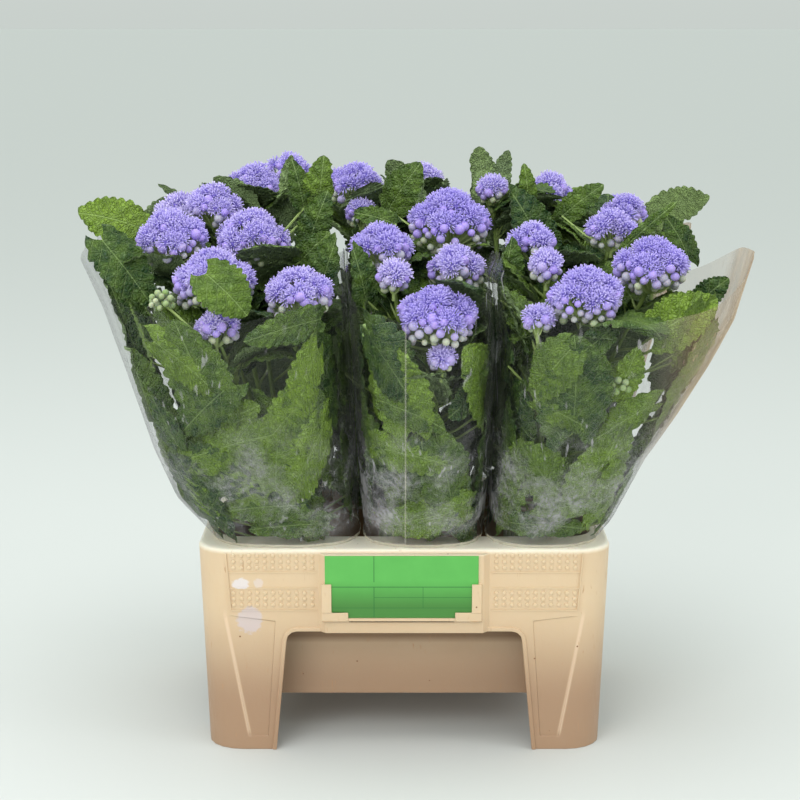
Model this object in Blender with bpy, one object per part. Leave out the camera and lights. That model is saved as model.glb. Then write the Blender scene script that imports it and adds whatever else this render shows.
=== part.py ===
"""Ageratum: six sleeved bunches of cut stems, standing in water in a moulded flower container.

Lengths are in metres and +Z is up. The origin is on the floor, under the middle of the container.
The front row of bunches is the one at -Y. The back row is set out like it, turned half a turn.
"""

import math
import random

import bmesh
import bpy
import numpy as np
from mathutils import Matrix

# Container: one moulding with a tapered skirt, four corner legs and a tub that hangs from the flange.
RIM_HALF = (0.200, 0.150)
HEIGHT = 0.205
TAPER = 0.0071
CORNER_RADIUS = 0.035
WALL = 0.0036
FLANGE = 0.004
RIM_ROUNDING = 0.004
CORNER_STEPS = 5
TUB_TOP_HALF = (0.188, 0.107)
TUB_BASE_HALF = (0.182, 0.101)
TUB_RADIUS = 0.030
TUB_BASE = 0.043
TUB_FLOOR = 0.004
ARCH_TOP = 0.122
ARCH_RADIUS = 0.010
LONG_ARCH_HALF = (0.114, 0.125)
SHORT_ARCH_HALF = (0.072, 0.083)
BEAD_WIDTH = 0.004
BEAD_PROUD = 0.0018
BULGE_HALF = 0.082
BULGE_PROUD = 0.007
BULGE_SOFT = 0.006

# Card and the lips of the pocket that holds it.
GAP = 0.0003
CARD_X = -0.0025
CARD_HALF = 0.0735
CARD_LOW = 0.138
CARD_HIGH = 0.200
CARD_THICK = 0.0008
LIP_THICK = 0.0016
LIP_COVER = 0.0065
LIP_SIDE = 0.003
LIP_HIGH = 0.172
CORNER_LIP = 0.016

# Water, and the tied foot of each bunch.
WATER_TOP = 0.120
HOLE_RADIUS = 0.0105
FOOT_Y = 0.062
FOOT_RADIUS = 0.0088
FOOT_WAIST = 0.0068
STEMS = 6
TIE_HEIGHT = 0.182
BAND_HEIGHT = 0.152
BAND_THICK = 0.0012

# Sleeves: the upright lines between the front bunches, as height and x, and the front film as height and -y.
SIDE_LINES = (
    ((0.205, -0.188), (0.225, -0.205), (0.250, -0.224), (0.300, -0.243), (0.380, -0.266), (0.440, -0.284),
     (0.490, -0.304), (0.520, -0.327)),
    ((0.205, -0.042), (0.490, -0.056)),
    ((0.205, 0.078), (0.290, 0.084), (0.400, 0.088), (0.470, 0.080), (0.500, 0.092)),
    ((0.205, 0.190), (0.225, 0.205), (0.290, 0.234), (0.335, 0.262), (0.385, 0.290), (0.430, 0.312),
     (0.490, 0.327)),
)
FRONT_LINE = ((0.205, 0.147), (0.240, 0.165), (0.300, 0.190), (0.400, 0.222), (0.490, 0.245))
SECTION_POWER = 2.8
SLEEVE_GAP = 0.0006
FILM = 0.0008
FILM_BASE = HEIGHT + GAP
RIM_DIP = 0.438
RIM_EAR = 0.497
SLEEVE_SIDES = 16
SLEEVE_ROWS = (0.0, 0.10, 0.32, 0.62, 1.0)

# Bunches: name, column from the left of its own row, and 1 for the front row or -1 for the back.
BUNCHES = (
    ("front_left", 0, 1),
    ("front_middle", 1, 1),
    ("front_right", 2, 1),
    ("back_right", 0, -1),
    ("back_middle", 1, -1),
    ("back_left", 2, -1),
)

# Flower heads of each bunch: x, y, z of the middle and the width of the head.
HEADS = {
    "front_left": (
        (-0.224, -0.090, 0.500, 0.074),
        (-0.148, -0.070, 0.497, 0.078),
        (-0.177, -0.148, 0.467, 0.080),
        (-0.099, -0.164, 0.455, 0.068),
        (-0.172, -0.192, 0.427, 0.044),
        (-0.190, -0.018, 0.522, 0.060),
    ),
    "front_middle": (
        (-0.022, -0.108, 0.492, 0.062),
        (0.044, -0.062, 0.513, 0.084),
        (0.048, -0.120, 0.474, 0.058),
        (-0.010, -0.150, 0.468, 0.034),
        (0.030, -0.180, 0.437, 0.074),
        (0.034, -0.196, 0.398, 0.028),
    ),
    "front_right": (
        (0.122, -0.105, 0.496, 0.050),
        (0.132, -0.146, 0.477, 0.034),
        (0.166, -0.178, 0.456, 0.072),
        (0.232, -0.138, 0.477, 0.076),
        (0.200, -0.072, 0.504, 0.056),
        (0.122, -0.192, 0.434, 0.030),
    ),
    "back_right": (
        (0.090, 0.044, 0.532, 0.034),
        (0.151, 0.070, 0.528, 0.056),
        (0.226, 0.032, 0.510, 0.052),
        (0.226, 0.104, 0.496, 0.074),
        (0.150, 0.150, 0.478, 0.078),
        (0.188, 0.190, 0.430, 0.044),
    ),
    "back_middle": (
        (-0.050, 0.062, 0.536, 0.064),
        (0.018, 0.088, 0.538, 0.052),
        (-0.044, 0.018, 0.510, 0.032),
        (-0.018, 0.140, 0.500, 0.068),
        (0.010, 0.184, 0.450, 0.060),
        (-0.046, 0.186, 0.430, 0.036),
    ),
    "back_left": (
        (-0.156, 0.085, 0.534, 0.062),
        (-0.122, 0.134, 0.545, 0.052),
        (-0.232, 0.066, 0.506, 0.060),
        (-0.234, 0.144, 0.478, 0.076),
        (-0.166, 0.180, 0.456, 0.072),
        (-0.124, 0.188, 0.434, 0.030),
    ),
}
# Green bud clusters of the front bunches, by column. The back bunches have them half a turn round.
BUD_SPOTS = (
    ((-0.224, -0.168, 0.446), (-0.200, -0.196, 0.392)),
    ((0.008, -0.206, 0.345), (-0.030, -0.184, 0.420)),
    ((0.256, -0.186, 0.421), (0.196, -0.200, 0.372)),
)

BUD_RADIUS = 0.0078
BUD_RING = 0.0058

# Shape of a head, as shares of its half width: tops of the florets, hollows between them, height, underside.
HEAD_PEAK = 0.99
HEAD_VALLEY = 0.76
HEAD_FLAT = 0.64
HEAD_UNDER = 0.45
HEAD_TALL = 0.74

# Middle of a bunch: height and share of the sleeve's width at each level, and how far its corners alternate.
CORE_ROWS = ((0.214, 0.50), (0.245, 0.70), (0.310, 0.74), (0.365, 0.68), (0.405, 0.50), (0.432, 0.24))
CORE_SIDES = 8
CORE_WAVE = 0.07
CLEAR = 0.0016
PACKED_LEAVES = 10
CROWN_LEAVES = 9
LEAF_THICK = 0.0008
STALK_WIDTH = 0.0030
LEAF_INSET = 0.0092
LEAF_APART = 0.0035
TRIES = 60
HEIGHT_LIMIT = 0.574
# Rows along a leaf: place along the blade, and how far its toothed edge stands out there.
LEAF_ROWS = ((0.0, 1.0), (0.15, 1.06), (0.34, 0.84), (0.53, 1.10), (0.74, 0.94), (1.0, 0.0))


def material(name, red, green, blue, roughness, alpha=1.0):
    made = bpy.data.materials.new(name)
    made.use_nodes = True
    shader = made.node_tree.nodes["Principled BSDF"]
    shader.inputs["Base Color"].default_value = (red, green, blue, 1.0)
    shader.inputs["Roughness"].default_value = roughness
    shader.inputs["Alpha"].default_value = alpha
    return made


def clear_scene():
    for obj in list(bpy.data.objects):
        bpy.data.objects.remove(obj)


def add_mesh(name, vertices, faces, finish=None):
    mesh = bpy.data.meshes.new(name)
    mesh.from_pydata([tuple(point) for point in vertices], [], faces)
    mesh.update()
    obj = bpy.data.objects.new(name, mesh)
    bpy.context.scene.collection.objects.link(obj)
    if finish:
        mesh.materials.append(finish)
    return obj


def shade_round(obj, degrees=35):
    obj.data.shade_smooth()
    obj.data.set_sharp_from_angle(angle=math.radians(degrees))


def loft(name, rings, finish=None):
    """A closed solid through rings of points, anticlockwise seen from above, lowest first."""
    count = len(rings[0])
    vertices = [point for ring in rings for point in ring]
    faces = [tuple(reversed(range(count)))]
    for row in range(len(rings) - 1):
        low = row * count
        for i in range(count):
            j = (i + 1) % count
            faces.append((low + i, low + j, low + count + j, low + count + i))
    last = (len(rings) - 1) * count
    faces.append(tuple(range(last, last + count)))
    return add_mesh(name, vertices, faces, finish)


def prism(name, outline, axis, low, high):
    """An outline of (x or y, z) points pushed along the other level axis from low to high."""
    bm = bmesh.new()
    for at in (low, high):
        for across, z in outline:
            bm.verts.new((across, at, z) if axis == "Y" else (at, across, z))
    bm.verts.ensure_lookup_table()
    count = len(outline)
    bm.faces.new(bm.verts[:count])
    bm.faces.new(bm.verts[count:])
    for i in range(count):
        j = (i + 1) % count
        bm.faces.new((bm.verts[i], bm.verts[j], bm.verts[count + j], bm.verts[count + i]))
    bmesh.ops.recalc_face_normals(bm, faces=bm.faces)
    mesh = bpy.data.meshes.new(name)
    bm.to_mesh(mesh)
    bm.free()
    obj = bpy.data.objects.new(name, mesh)
    bpy.context.scene.collection.objects.link(obj)
    return obj


def apply_boolean(obj, others, operation, solver="EXACT"):
    """Joins, cuts or trims obj with the others, which are then removed."""
    helpers = bpy.data.collections.new("helpers")
    bpy.context.scene.collection.children.link(helpers)
    for other in others:
        for owner in list(other.users_collection):
            owner.objects.unlink(other)
        helpers.objects.link(other)
    modifier = obj.modifiers.new(operation.lower(), "BOOLEAN")
    modifier.operation = operation
    modifier.solver = solver
    modifier.operand_type = "COLLECTION"
    modifier.collection = helpers
    bpy.context.view_layer.objects.active = obj
    bpy.ops.object.modifier_apply(modifier=modifier.name)
    for other in others:
        bpy.data.objects.remove(other)
    bpy.data.collections.remove(helpers)
    return obj


def rounded_outline(half_x, half_y, radius, steps=CORNER_STEPS):
    points = []
    for corner, (sx, sy) in enumerate(((1, 1), (-1, 1), (-1, -1), (1, -1))):
        for step in range(steps + 1):
            angle = math.radians(90 * (corner + step / steps))
            x = sx * (half_x - radius) + radius * math.cos(angle)
            y = sy * (half_y - radius) + radius * math.sin(angle)
            points.append((x, y))
    return points


def ring(half, radius, z):
    return [(x, y, z) for x, y in rounded_outline(half[0], half[1], radius)]


def skirt_half(z, grow=0.0):
    lean = TAPER * (1 - z / HEIGHT)
    return RIM_HALF[0] - lean + grow, RIM_HALF[1] - lean + grow


def skirt_ring(z, grow=0.0):
    return ring(skirt_half(z, grow), CORNER_RADIUS + grow, z)


def tub_half(z, inset=0.0):
    share = (z - TUB_BASE) / (HEIGHT - TUB_BASE)
    return tuple(
        low + (high - low) * share - inset for low, high in zip(TUB_BASE_HALF, TUB_TOP_HALF)
    )


def arch_outline(top_half, floor_half, grow=0.0):
    """The opening between two legs: straight leaning sides and rounded top corners."""
    top = ARCH_TOP + grow
    low = -0.010
    slope = (floor_half - top_half) / ARCH_TOP
    foot = floor_half + grow - slope * low
    shoulder = top_half + grow
    radius = ARCH_RADIUS + grow
    points = [(-foot, low), (foot, low)]
    for side in (1, -1):
        arc = []
        for step in range(4):
            angle = math.radians(90 * step / 3)
            x = side * (shoulder - radius + radius * math.cos(angle))
            arc.append((x, top - radius + radius * math.sin(angle)))
        points.extend(arc if side == 1 else reversed(arc))
    return points


def bulge_ring(z, side, inset=0.0):
    """Plan of the thickened middle of the front (side -1) or back (side 1) wall."""
    wall = skirt_half(z)[1]
    half = BULGE_HALF - inset
    proud = wall + BULGE_PROUD - inset
    root = wall - 2 * WALL
    points = [(-half, root), (half, root), (half, wall - inset), (half - BULGE_SOFT, proud),
              (-half + BULGE_SOFT, proud), (-half, wall - inset)]
    if side < 0:
        points = [(x, -y) for x, y in reversed(points)]
    return [(x, y, z) for x, y in points]


def bulge_face(z):
    """Distance of the bulge's outer face from the middle, at a height."""
    return skirt_half(z)[1] + BULGE_PROUD


def lip(name, x_low, x_high, z_low, z_high, near, far):
    """A block on the front bulge, from near to far out of its face, that follows the lean of the wall."""
    corners = []
    for z in (z_low, z_high):
        face = bulge_face(z)
        corners.append([(x_low, -face - far, z), (x_high, -face - far, z),
                        (x_high, -face - near, z), (x_low, -face - near, z)])
    return loft(name, corners)


def pocket_lips():
    """Side lips, bottom ledge and corner lips, rooted in the wall and hooked over the card's edge."""
    root = -WALL / 2
    hook = CARD_THICK + 2 * GAP
    left = CARD_X - CARD_HALF - GAP
    right = CARD_X + CARD_HALF + GAP
    low = CARD_LOW - GAP
    pieces = []
    for edge, side in ((left, -1), (right, 1)):
        outer = edge + side * LIP_SIDE
        inner = edge - side * LIP_COVER
        pieces.append(lip("side", min(edge, outer), max(edge, outer), low - 0.004, LIP_HIGH, root,
                          hook + LIP_THICK / 2))
        pieces.append(lip("cover", min(inner, outer), max(inner, outer), low - 0.004, LIP_HIGH, hook,
                          hook + LIP_THICK))
        corner = edge - side * (LIP_COVER + CORNER_LIP)
        pieces.append(lip("corner", min(corner, outer), max(corner, outer), low - 0.003, low + 0.006, hook,
                          hook + LIP_THICK * 1.1))
    pieces.append(lip("ledge", left - LIP_SIDE / 2, right + LIP_SIDE / 2, low - 0.0035, low, root,
                      hook + LIP_THICK / 2))
    return pieces


def make_container():
    finish = material("moulded peach polyethylene", 0.74, 0.53, 0.34, 0.45)
    edge = HEIGHT - RIM_ROUNDING
    rounding = [(edge, 0.0), (edge + 0.6 * RIM_ROUNDING, -0.2 * RIM_ROUNDING), (HEIGHT, -RIM_ROUNDING)]
    body = loft("container", [skirt_ring(0.0)] + [skirt_ring(z, grow) for z, grow in rounding], finish)
    long_arch = arch_outline(*LONG_ARCH_HALF)
    short_arch = arch_outline(*SHORT_ARCH_HALF)
    beads = []
    for outline, axis, reach in (
        (arch_outline(*LONG_ARCH_HALF, grow=BEAD_WIDTH), "Y", 0.2),
        (arch_outline(*SHORT_ARCH_HALF, grow=BEAD_WIDTH), "X", 0.3),
    ):
        bead = loft("bead", [skirt_ring(0.0, BEAD_PROUD), skirt_ring(edge, BEAD_PROUD)])
        beads.append(apply_boolean(bead, [prism("arch", outline, axis, -reach, reach)], "INTERSECT"))
    bulges = [loft("bulge", [bulge_ring(ARCH_TOP - 0.002, side), bulge_ring(edge, side)]) for side in (-1, 1)]
    apply_boolean(body, beads + bulges, "UNION")
    hollow = loft("hollow", [skirt_ring(-0.010, -WALL), skirt_ring(HEIGHT - FLANGE, -WALL)])
    dents = [loft("dent", [bulge_ring(0.090, side, WALL), bulge_ring(edge - FLANGE, side, WALL)])
             for side in (-1, 1)]
    arches = [prism("arch", long_arch, "Y", -0.2, 0.2), prism("arch", short_arch, "X", -0.3, 0.3)]
    apply_boolean(body, [hollow] + dents + arches, "DIFFERENCE")
    tub = loft("tub", [ring(tub_half(z), TUB_RADIUS, z) for z in (TUB_BASE, HEIGHT - FLANGE / 2)])
    apply_boolean(body, [tub] + pocket_lips(), "UNION")
    floor = TUB_BASE + TUB_FLOOR
    inside = loft("inside", [ring(tub_half(z, WALL), TUB_RADIUS - WALL, z) for z in (floor, HEIGHT + 0.01)])
    apply_boolean(body, [inside], "DIFFERENCE")
    return body


def make_card():
    finish = material("green card", 0.10, 0.58, 0.10, 0.6)
    near = GAP
    card = lip("card", CARD_X - CARD_HALF, CARD_X + CARD_HALF, CARD_LOW, CARD_HIGH, near, near + CARD_THICK)
    card.data.materials.append(finish)
    return card


def limits_at(column, z):
    """The x and y limits of a bunch at a height, in its own row's frame, where the front is at -y."""
    low = np.interp(z, *zip(*SIDE_LINES[column])) + SLEEVE_GAP
    high = np.interp(z, *zip(*SIDE_LINES[column + 1])) - SLEEVE_GAP
    front = -np.interp(z, *zip(*FRONT_LINE))
    return low, high, front, -SLEEVE_GAP


def section(bunch, z):
    """Middle x and y of the sleeve at a height, in world axes, and its half sizes."""
    _, column, side = bunch
    low, high, front, back = limits_at(column, z)
    return side * (low + high) / 2, side * (front + back) / 2, (high - low) / 2, (back - front) / 2


def reach(half_x, half_y, angle):
    """Distance from the middle to the film in a direction: a squarish oval."""
    share = abs(np.cos(angle) / half_x) ** SECTION_POWER + abs(np.sin(angle) / half_y) ** SECTION_POWER
    return share ** (-1 / SECTION_POWER)


def film_point(bunch, z, angle, inset):
    middle_x, middle_y, half_x, half_y = section(bunch, z)
    radius = reach(half_x, half_y, angle) - inset
    return np.array((middle_x + radius * np.cos(angle), middle_y + radius * np.sin(angle), z))


def kept_inside(bunch, point, inset):
    """The point, drawn in towards the bunch's middle if it lies outside the film."""
    middle_x, middle_y, half_x, half_y = section(bunch, point[2])
    dx = point[0] - middle_x
    dy = point[1] - middle_y
    angle = math.atan2(dy, dx)
    most = reach(half_x, half_y, angle) - inset
    share = min(1.0, most / max(math.hypot(dx, dy), 1e-9))
    return np.array((middle_x + dx * share, middle_y + dy * share, point[2]))


def make_sleeve(bunch, finish):
    """An open tube of film: the outer surface, given its wall inwards by Solidify."""
    vertices = []
    for share in SLEEVE_ROWS:
        for i in range(SLEEVE_SIDES):
            angle = 2 * math.pi * i / SLEEVE_SIDES
            top = RIM_DIP + (RIM_EAR - RIM_DIP) * math.cos(angle) ** 2
            vertices.append(film_point(bunch, FILM_BASE + share * (top - FILM_BASE), angle, 0.0))
    faces = []
    for row in range(len(SLEEVE_ROWS) - 1):
        for i in range(SLEEVE_SIDES):
            j = (i + 1) % SLEEVE_SIDES
            low = row * SLEEVE_SIDES
            faces.append((low + i, low + j, low + SLEEVE_SIDES + j, low + SLEEVE_SIDES + i))
    sleeve = add_mesh("sleeve_" + bunch[0], vertices, faces, finish)
    wall = sleeve.modifiers.new("wall", "SOLIDIFY")
    wall.thickness = FILM
    wall.offset = -1.0
    shade_round(sleeve, 60)
    return sleeve


def foot_of(bunch):
    middle_x, _, _, _ = section(bunch, FILM_BASE)
    return np.array((middle_x, -bunch[2] * FOOT_Y))


def head_base(head):
    """Height of the flat underside of a head."""
    return head[2] - HEAD_UNDER * head[3] / 2


def stem_point(bunch, head, z):
    """The middle of a head's stem at a height above the tie: upright at first, then leaning out."""
    start = foot_of(bunch)
    tip = np.array(head[:2])
    share = (z - TIE_HEIGHT + 0.014) / (head_base(head) - TIE_HEIGHT + 0.014)
    lean = max(share, 0.0) ** 1.35
    flat = start + (tip - start) * lean
    return np.array((flat[0], flat[1], z))


def stem_solid(bunch, head):
    """A four-sided stem from inside the tied foot to just under its head."""
    top = head_base(head) - GAP
    low = TIE_HEIGHT - 0.014
    rings = []
    for share in (0.0, 0.35, 0.7, 1.0):
        z = low + share * (top - low)
        middle = stem_point(bunch, head, z)
        radius = 0.0034 - 0.0010 * share
        rings.append([middle + radius * np.array((math.cos(a), math.sin(a), 0.0))
                      for a in (0.4, 0.4 + math.pi / 2, 0.4 + math.pi, 0.4 + 1.5 * math.pi)])
    return loft("stem", rings)


def foot_solid(bunch, finish):
    """The tied stems below the sleeve, cut off level just above the tub floor: one lobe for each stem."""
    x, y = foot_of(bunch)
    rings = []
    for z in (TUB_BASE + TUB_FLOOR + GAP, TIE_HEIGHT):
        outline = []
        for i in range(2 * STEMS):
            angle = math.pi * i / STEMS
            radius = FOOT_RADIUS if i % 2 == 0 else FOOT_WAIST
            outline.append((x + radius * math.cos(angle), y + radius * math.sin(angle), z))
        rings.append(outline)
    return loft("foliage_" + bunch[0], rings, finish)


def core_solid(bunch):
    """The close-packed middle of the bunch, which the leaves and stems stand out of."""
    rings = []
    for number, (z, share) in enumerate(CORE_ROWS):
        middle_x, middle_y, half_x, half_y = section(bunch, z)
        outline = []
        for i in range(CORE_SIDES):
            angle = 2 * math.pi * i / CORE_SIDES
            radius = share * reach(half_x, half_y, angle) * (1.0 + CORE_WAVE * (-1) ** (i + number))
            outline.append((middle_x + radius * math.cos(angle), middle_y + radius * math.sin(angle), z))
        rings.append(outline)
    return loft("core", rings)


def stalk(start, end, radius):
    """A three-sided stalk between two points."""
    along = end - start
    along = along / np.linalg.norm(along)
    other = np.array((0.0, 0.0, 1.0)) if abs(along[2]) < 0.9 else np.array((1.0, 0.0, 0.0))
    side = np.cross(along, other)
    side = side / np.linalg.norm(side)
    up = np.cross(side, along)
    rings = []
    for middle in (start, end):
        rings.append([middle + radius * (math.cos(a) * side - math.sin(a) * up)
                      for a in (0.0, 2 * math.pi / 3, 4 * math.pi / 3)])
    return loft("stalk", rings)


def nearest_stem(bunch, point, rise):
    """The point on the nearest of the bunch's stems, a rise below the given point."""
    spots = []
    for head in HEADS[bunch[0]]:
        z = min(max(point[2] - rise, TIE_HEIGHT), head_base(head) - 0.006)
        spots.append(stem_point(bunch, head, z))
    return min(spots, key=lambda spot: float(np.linalg.norm(spot - point)))


def spiky_ball(middle, radius, sides):
    """A double pyramid that stands for one fluffy floret head or bud."""
    bm = bmesh.new()
    bmesh.ops.create_uvsphere(bm, u_segments=sides, v_segments=2, radius=radius)
    mesh = bpy.data.meshes.new("ball")
    bm.to_mesh(mesh)
    bm.free()
    mesh.transform(Matrix.Translation(middle))
    obj = bpy.data.objects.new("ball", mesh)
    bpy.context.scene.collection.objects.link(obj)
    return obj


def bud_cluster(bunch, spot):
    """Three green buds in a tight cluster, on a stalk from the nearest stem."""
    middle = kept_inside(bunch, np.array(spot), LEAF_INSET + 0.012)
    pieces = [stalk(nearest_stem(bunch, middle, 0.040), middle, 0.0016)]
    for k in range(3):
        angle = 2 * math.pi * k / 3 + 0.3
        offset = BUD_RING * np.array((math.cos(angle), math.sin(angle), 0.25 * k))
        pieces.append(spiky_ball(middle + offset, BUD_RADIUS, 4))
    return pieces


def unit(vector):
    return vector / max(np.linalg.norm(vector), 1e-9)


def blade_width(share):
    """Half width of a leaf's blade along its length, as a share of the widest: broad near the base."""
    return math.sin(math.pi * share ** 0.62) ** 0.75 if 0.0 < share < 1.0 else 0.0


def packed_leaf(rng, bunch, number):
    """A leaf that lies against the film: even numbers in a low row, odd ones in a high row."""
    return {
        "kind": "packed",
        "bunch": bunch,
        "angle": 2 * math.pi * (number / PACKED_LEAVES + rng.uniform(-0.03, 0.03)),
        "height": (0.272, 0.372)[number % 2] + rng.uniform(-0.012, 0.020),
        "turn": math.radians(rng.uniform(45, 135)),
        "length": rng.uniform(0.074, 0.102),
        "width": rng.uniform(0.66, 0.80),
        "inset": LEAF_INSET + 0.0020 * (number // 2 % 3) + rng.uniform(0.0, 0.0008),
    }


def crown_leaf(rng, bunch, number):
    """A leaf that springs from a stem between the heads and arches outwards."""
    head = HEADS[bunch[0]][number % STEMS]
    start = stem_point(bunch, head, head_base(head) - rng.uniform(0.010, 0.050))
    return {
        "kind": "crown",
        "bunch": bunch,
        "start": start,
        "angle": 2 * math.pi * (number / CROWN_LEAVES + rng.uniform(-0.12, 0.12)),
        "rise": math.radians(rng.uniform(25, 75)),
        "droop": math.radians(rng.uniform(30, 75)),
        "length": rng.uniform(0.060, 0.092),
        "width": rng.uniform(0.66, 0.82),
        "stalk": rng.uniform(0.012, 0.024),
        "roll": math.radians(rng.uniform(-25, 25)),
        "inset": LEAF_INSET + 0.0014 * (number % 4),
    }


def packed_point(leaf, share, across):
    along = (share - 0.5) * leaf["length"]
    sideways = along * math.cos(leaf["turn"]) - across * math.sin(leaf["turn"])
    z = leaf["height"] + along * math.sin(leaf["turn"]) + across * math.cos(leaf["turn"])
    _, _, half_x, half_y = section(leaf["bunch"], leaf["height"])
    angle = leaf["angle"] + sideways / reach(half_x, half_y, leaf["angle"])
    return film_point(leaf["bunch"], z, angle, leaf["inset"])


def crown_point(leaf, share, across):
    """The midrib is an arc that starts at the leaf's rise and bends down by its droop."""
    rise, droop = leaf["rise"], leaf["droop"]
    now = rise - droop * share
    out = leaf["length"] * (math.sin(rise) - math.sin(now)) / droop + leaf["stalk"] * math.cos(rise)
    up = leaf["length"] * (math.cos(now) - math.cos(rise)) / droop + leaf["stalk"] * math.sin(rise)
    heading = np.array((math.cos(leaf["angle"]), math.sin(leaf["angle"]), 0.0))
    level = np.array((-heading[1], heading[0], 0.0))
    normal = -math.sin(now) * heading + np.array((0.0, 0.0, math.cos(now)))
    side = math.cos(leaf["roll"]) * level + math.sin(leaf["roll"]) * normal
    point = leaf["start"] + out * heading + np.array((0.0, 0.0, up)) + across * side
    return kept_inside(leaf["bunch"], point, leaf["inset"])


def leaf_point(leaf, share, across):
    """The middle surface of a leaf: share runs from its base to its tip, across is metres from the midrib."""
    return (packed_point if leaf["kind"] == "packed" else crown_point)(leaf, share, across)


def leaf_edges(leaf):
    """Pairs of left and right edge points along the leaf, from base to tip."""
    half = 0.5 * leaf["width"] * leaf["length"]
    pairs = []
    for share, tooth in LEAF_ROWS:
        width = max(half * blade_width(share) * tooth, STALK_WIDTH / 2)
        if share == 1.0:
            width = 0.0
        pairs.append((leaf_point(leaf, share, width), leaf_point(leaf, share, -width)))
    return pairs


def leaf_samples(pairs, foot):
    """Points spread over a leaf and along its stalk."""
    samples = []
    for (a, b), (c, d) in zip(pairs, pairs[1:]):
        for along in (0.0, 0.34, 0.67, 1.0):
            left = a + (c - a) * along
            right = b + (d - b) * along
            samples.extend(left + (right - left) * share for share in (0.0, 0.25, 0.5, 0.75, 1.0))
    base = (pairs[0][0] + pairs[0][1]) / 2
    samples.extend(foot + (base - foot) * share for share in np.linspace(0.1, 1.0, 9))
    return np.array(samples)


def leaf_clear(samples, others):
    """True if the points keep clear of every flower head, of the leaves already laid and of the top limit."""
    for heads in HEADS.values():
        for x, y, z, width in heads:
            wide = width / 2 + CLEAR
            tall = HEAD_TALL * width / 2 + CLEAR
            offset = (samples - (x, y, z)) / (wide, wide, tall)
            if ((offset ** 2).sum(axis=1) < 1.0).any():
                return False
    for other in others:
        apart = np.linalg.norm(samples[:, None] - other[None], axis=2)
        if apart.min() < LEAF_APART:
            return False
    return samples[:, 2].max() < HEIGHT_LIMIT


def leaf_solid(pairs, foot):
    """A thin solid round the leaf and its stalk, split into the same triangles on both faces."""
    path = (pairs[0][0] + pairs[0][1]) / 2 - foot
    across = pairs[0][0] - pairs[0][1]
    width = across - path * np.dot(across, path) / np.dot(path, path)
    width = width / np.linalg.norm(width) * STALK_WIDTH / 2
    pairs = [(foot + width, foot - width)] + pairs
    rows = [(a + b) / 2 for a, b in pairs]
    tops, bottoms = [], []
    for i, (left, right) in enumerate(pairs[:-1]):
        ahead = unit(rows[i + 1] - rows[i]) + unit(rows[i] - rows[max(i - 1, 0)])
        normal = unit(np.cross(ahead, left - right)) * LEAF_THICK / 2
        tops.extend((left + normal, right + normal))
        bottoms.extend((left - normal, right - normal))
    tops.append(rows[-1] + normal)
    bottoms.append(rows[-1] - normal)
    count = len(tops)
    sheet = []
    for row in range(len(pairs) - 2):
        a = 2 * row
        sheet.extend(((a, a + 1, a + 2), (a + 1, a + 3, a + 2)))
    sheet.append((count - 3, count - 2, count - 1))
    border = [2 * row for row in range(len(pairs) - 1)] + [count - 1]
    border += [2 * row + 1 for row in reversed(range(len(pairs) - 1))]
    faces = list(sheet)
    faces += [tuple(i + count for i in reversed(face)) for face in sheet]
    for a, b in zip(border, border[1:] + border[:1]):
        faces.extend(((a, b, b + count), (a, b + count, a + count)))
    return add_mesh("leaf", tops + bottoms, faces)


def leaf_open(leaf, pairs, foot):
    """True if the film has not crumpled the leaf, and its stalk meets it from below and not from the side."""
    wide = 0.5 * leaf["width"] * leaf["length"]
    across = pairs[0][0] - pairs[0][1]
    path = (pairs[0][0] + pairs[0][1]) / 2 - foot
    long_enough = np.linalg.norm(pairs[-1][0] - pairs[0][0]) > 0.62 * leaf["length"]
    wide_enough = all(np.linalg.norm(a - b) > wide for a, b in pairs[1:4])
    return long_enough and wide_enough and abs(np.dot(unit(across), unit(path))) < 0.75


def leaf_foot(leaf, pairs):
    """Where the leaf's stalk leaves its stem."""
    base = (pairs[0][0] + pairs[0][1]) / 2
    if leaf["kind"] == "crown":
        return leaf["start"]
    return nearest_stem(leaf["bunch"], base, 0.026)


def lay_leaves(bunch, seed):
    """Draws leaves one by one, and keeps those that clear the heads and each other."""
    rng = random.Random(seed)
    kept = []
    laid = []
    for make, wanted in ((packed_leaf, PACKED_LEAVES), (crown_leaf, CROWN_LEAVES)):
        for number in range(wanted):
            for _ in range(TRIES):
                leaf = make(rng, bunch, number)
                pairs = leaf_edges(leaf)
                foot = leaf_foot(leaf, pairs)
                samples = leaf_samples(pairs, foot)
                if leaf_open(leaf, pairs, foot) and leaf_clear(samples, laid):
                    kept.append((pairs, foot))
                    laid.append(samples)
                    break
    return kept


def make_foliage(bunch, seed, finish):
    """The tied stems of a bunch, with their leaves and green buds, joined in one solid."""
    body = foot_solid(bunch, finish)
    pieces = [core_solid(bunch)] + [stem_solid(bunch, head) for head in HEADS[bunch[0]]]
    for x, y, z in BUD_SPOTS[bunch[1]]:
        pieces.extend(bud_cluster(bunch, (bunch[2] * x, bunch[2] * y, z)))
    for pairs, foot in lay_leaves(bunch, seed):
        pieces.append(leaf_solid(pairs, foot))
    return apply_boolean(body, pieces, "UNION", "MANIFOLD")


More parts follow.
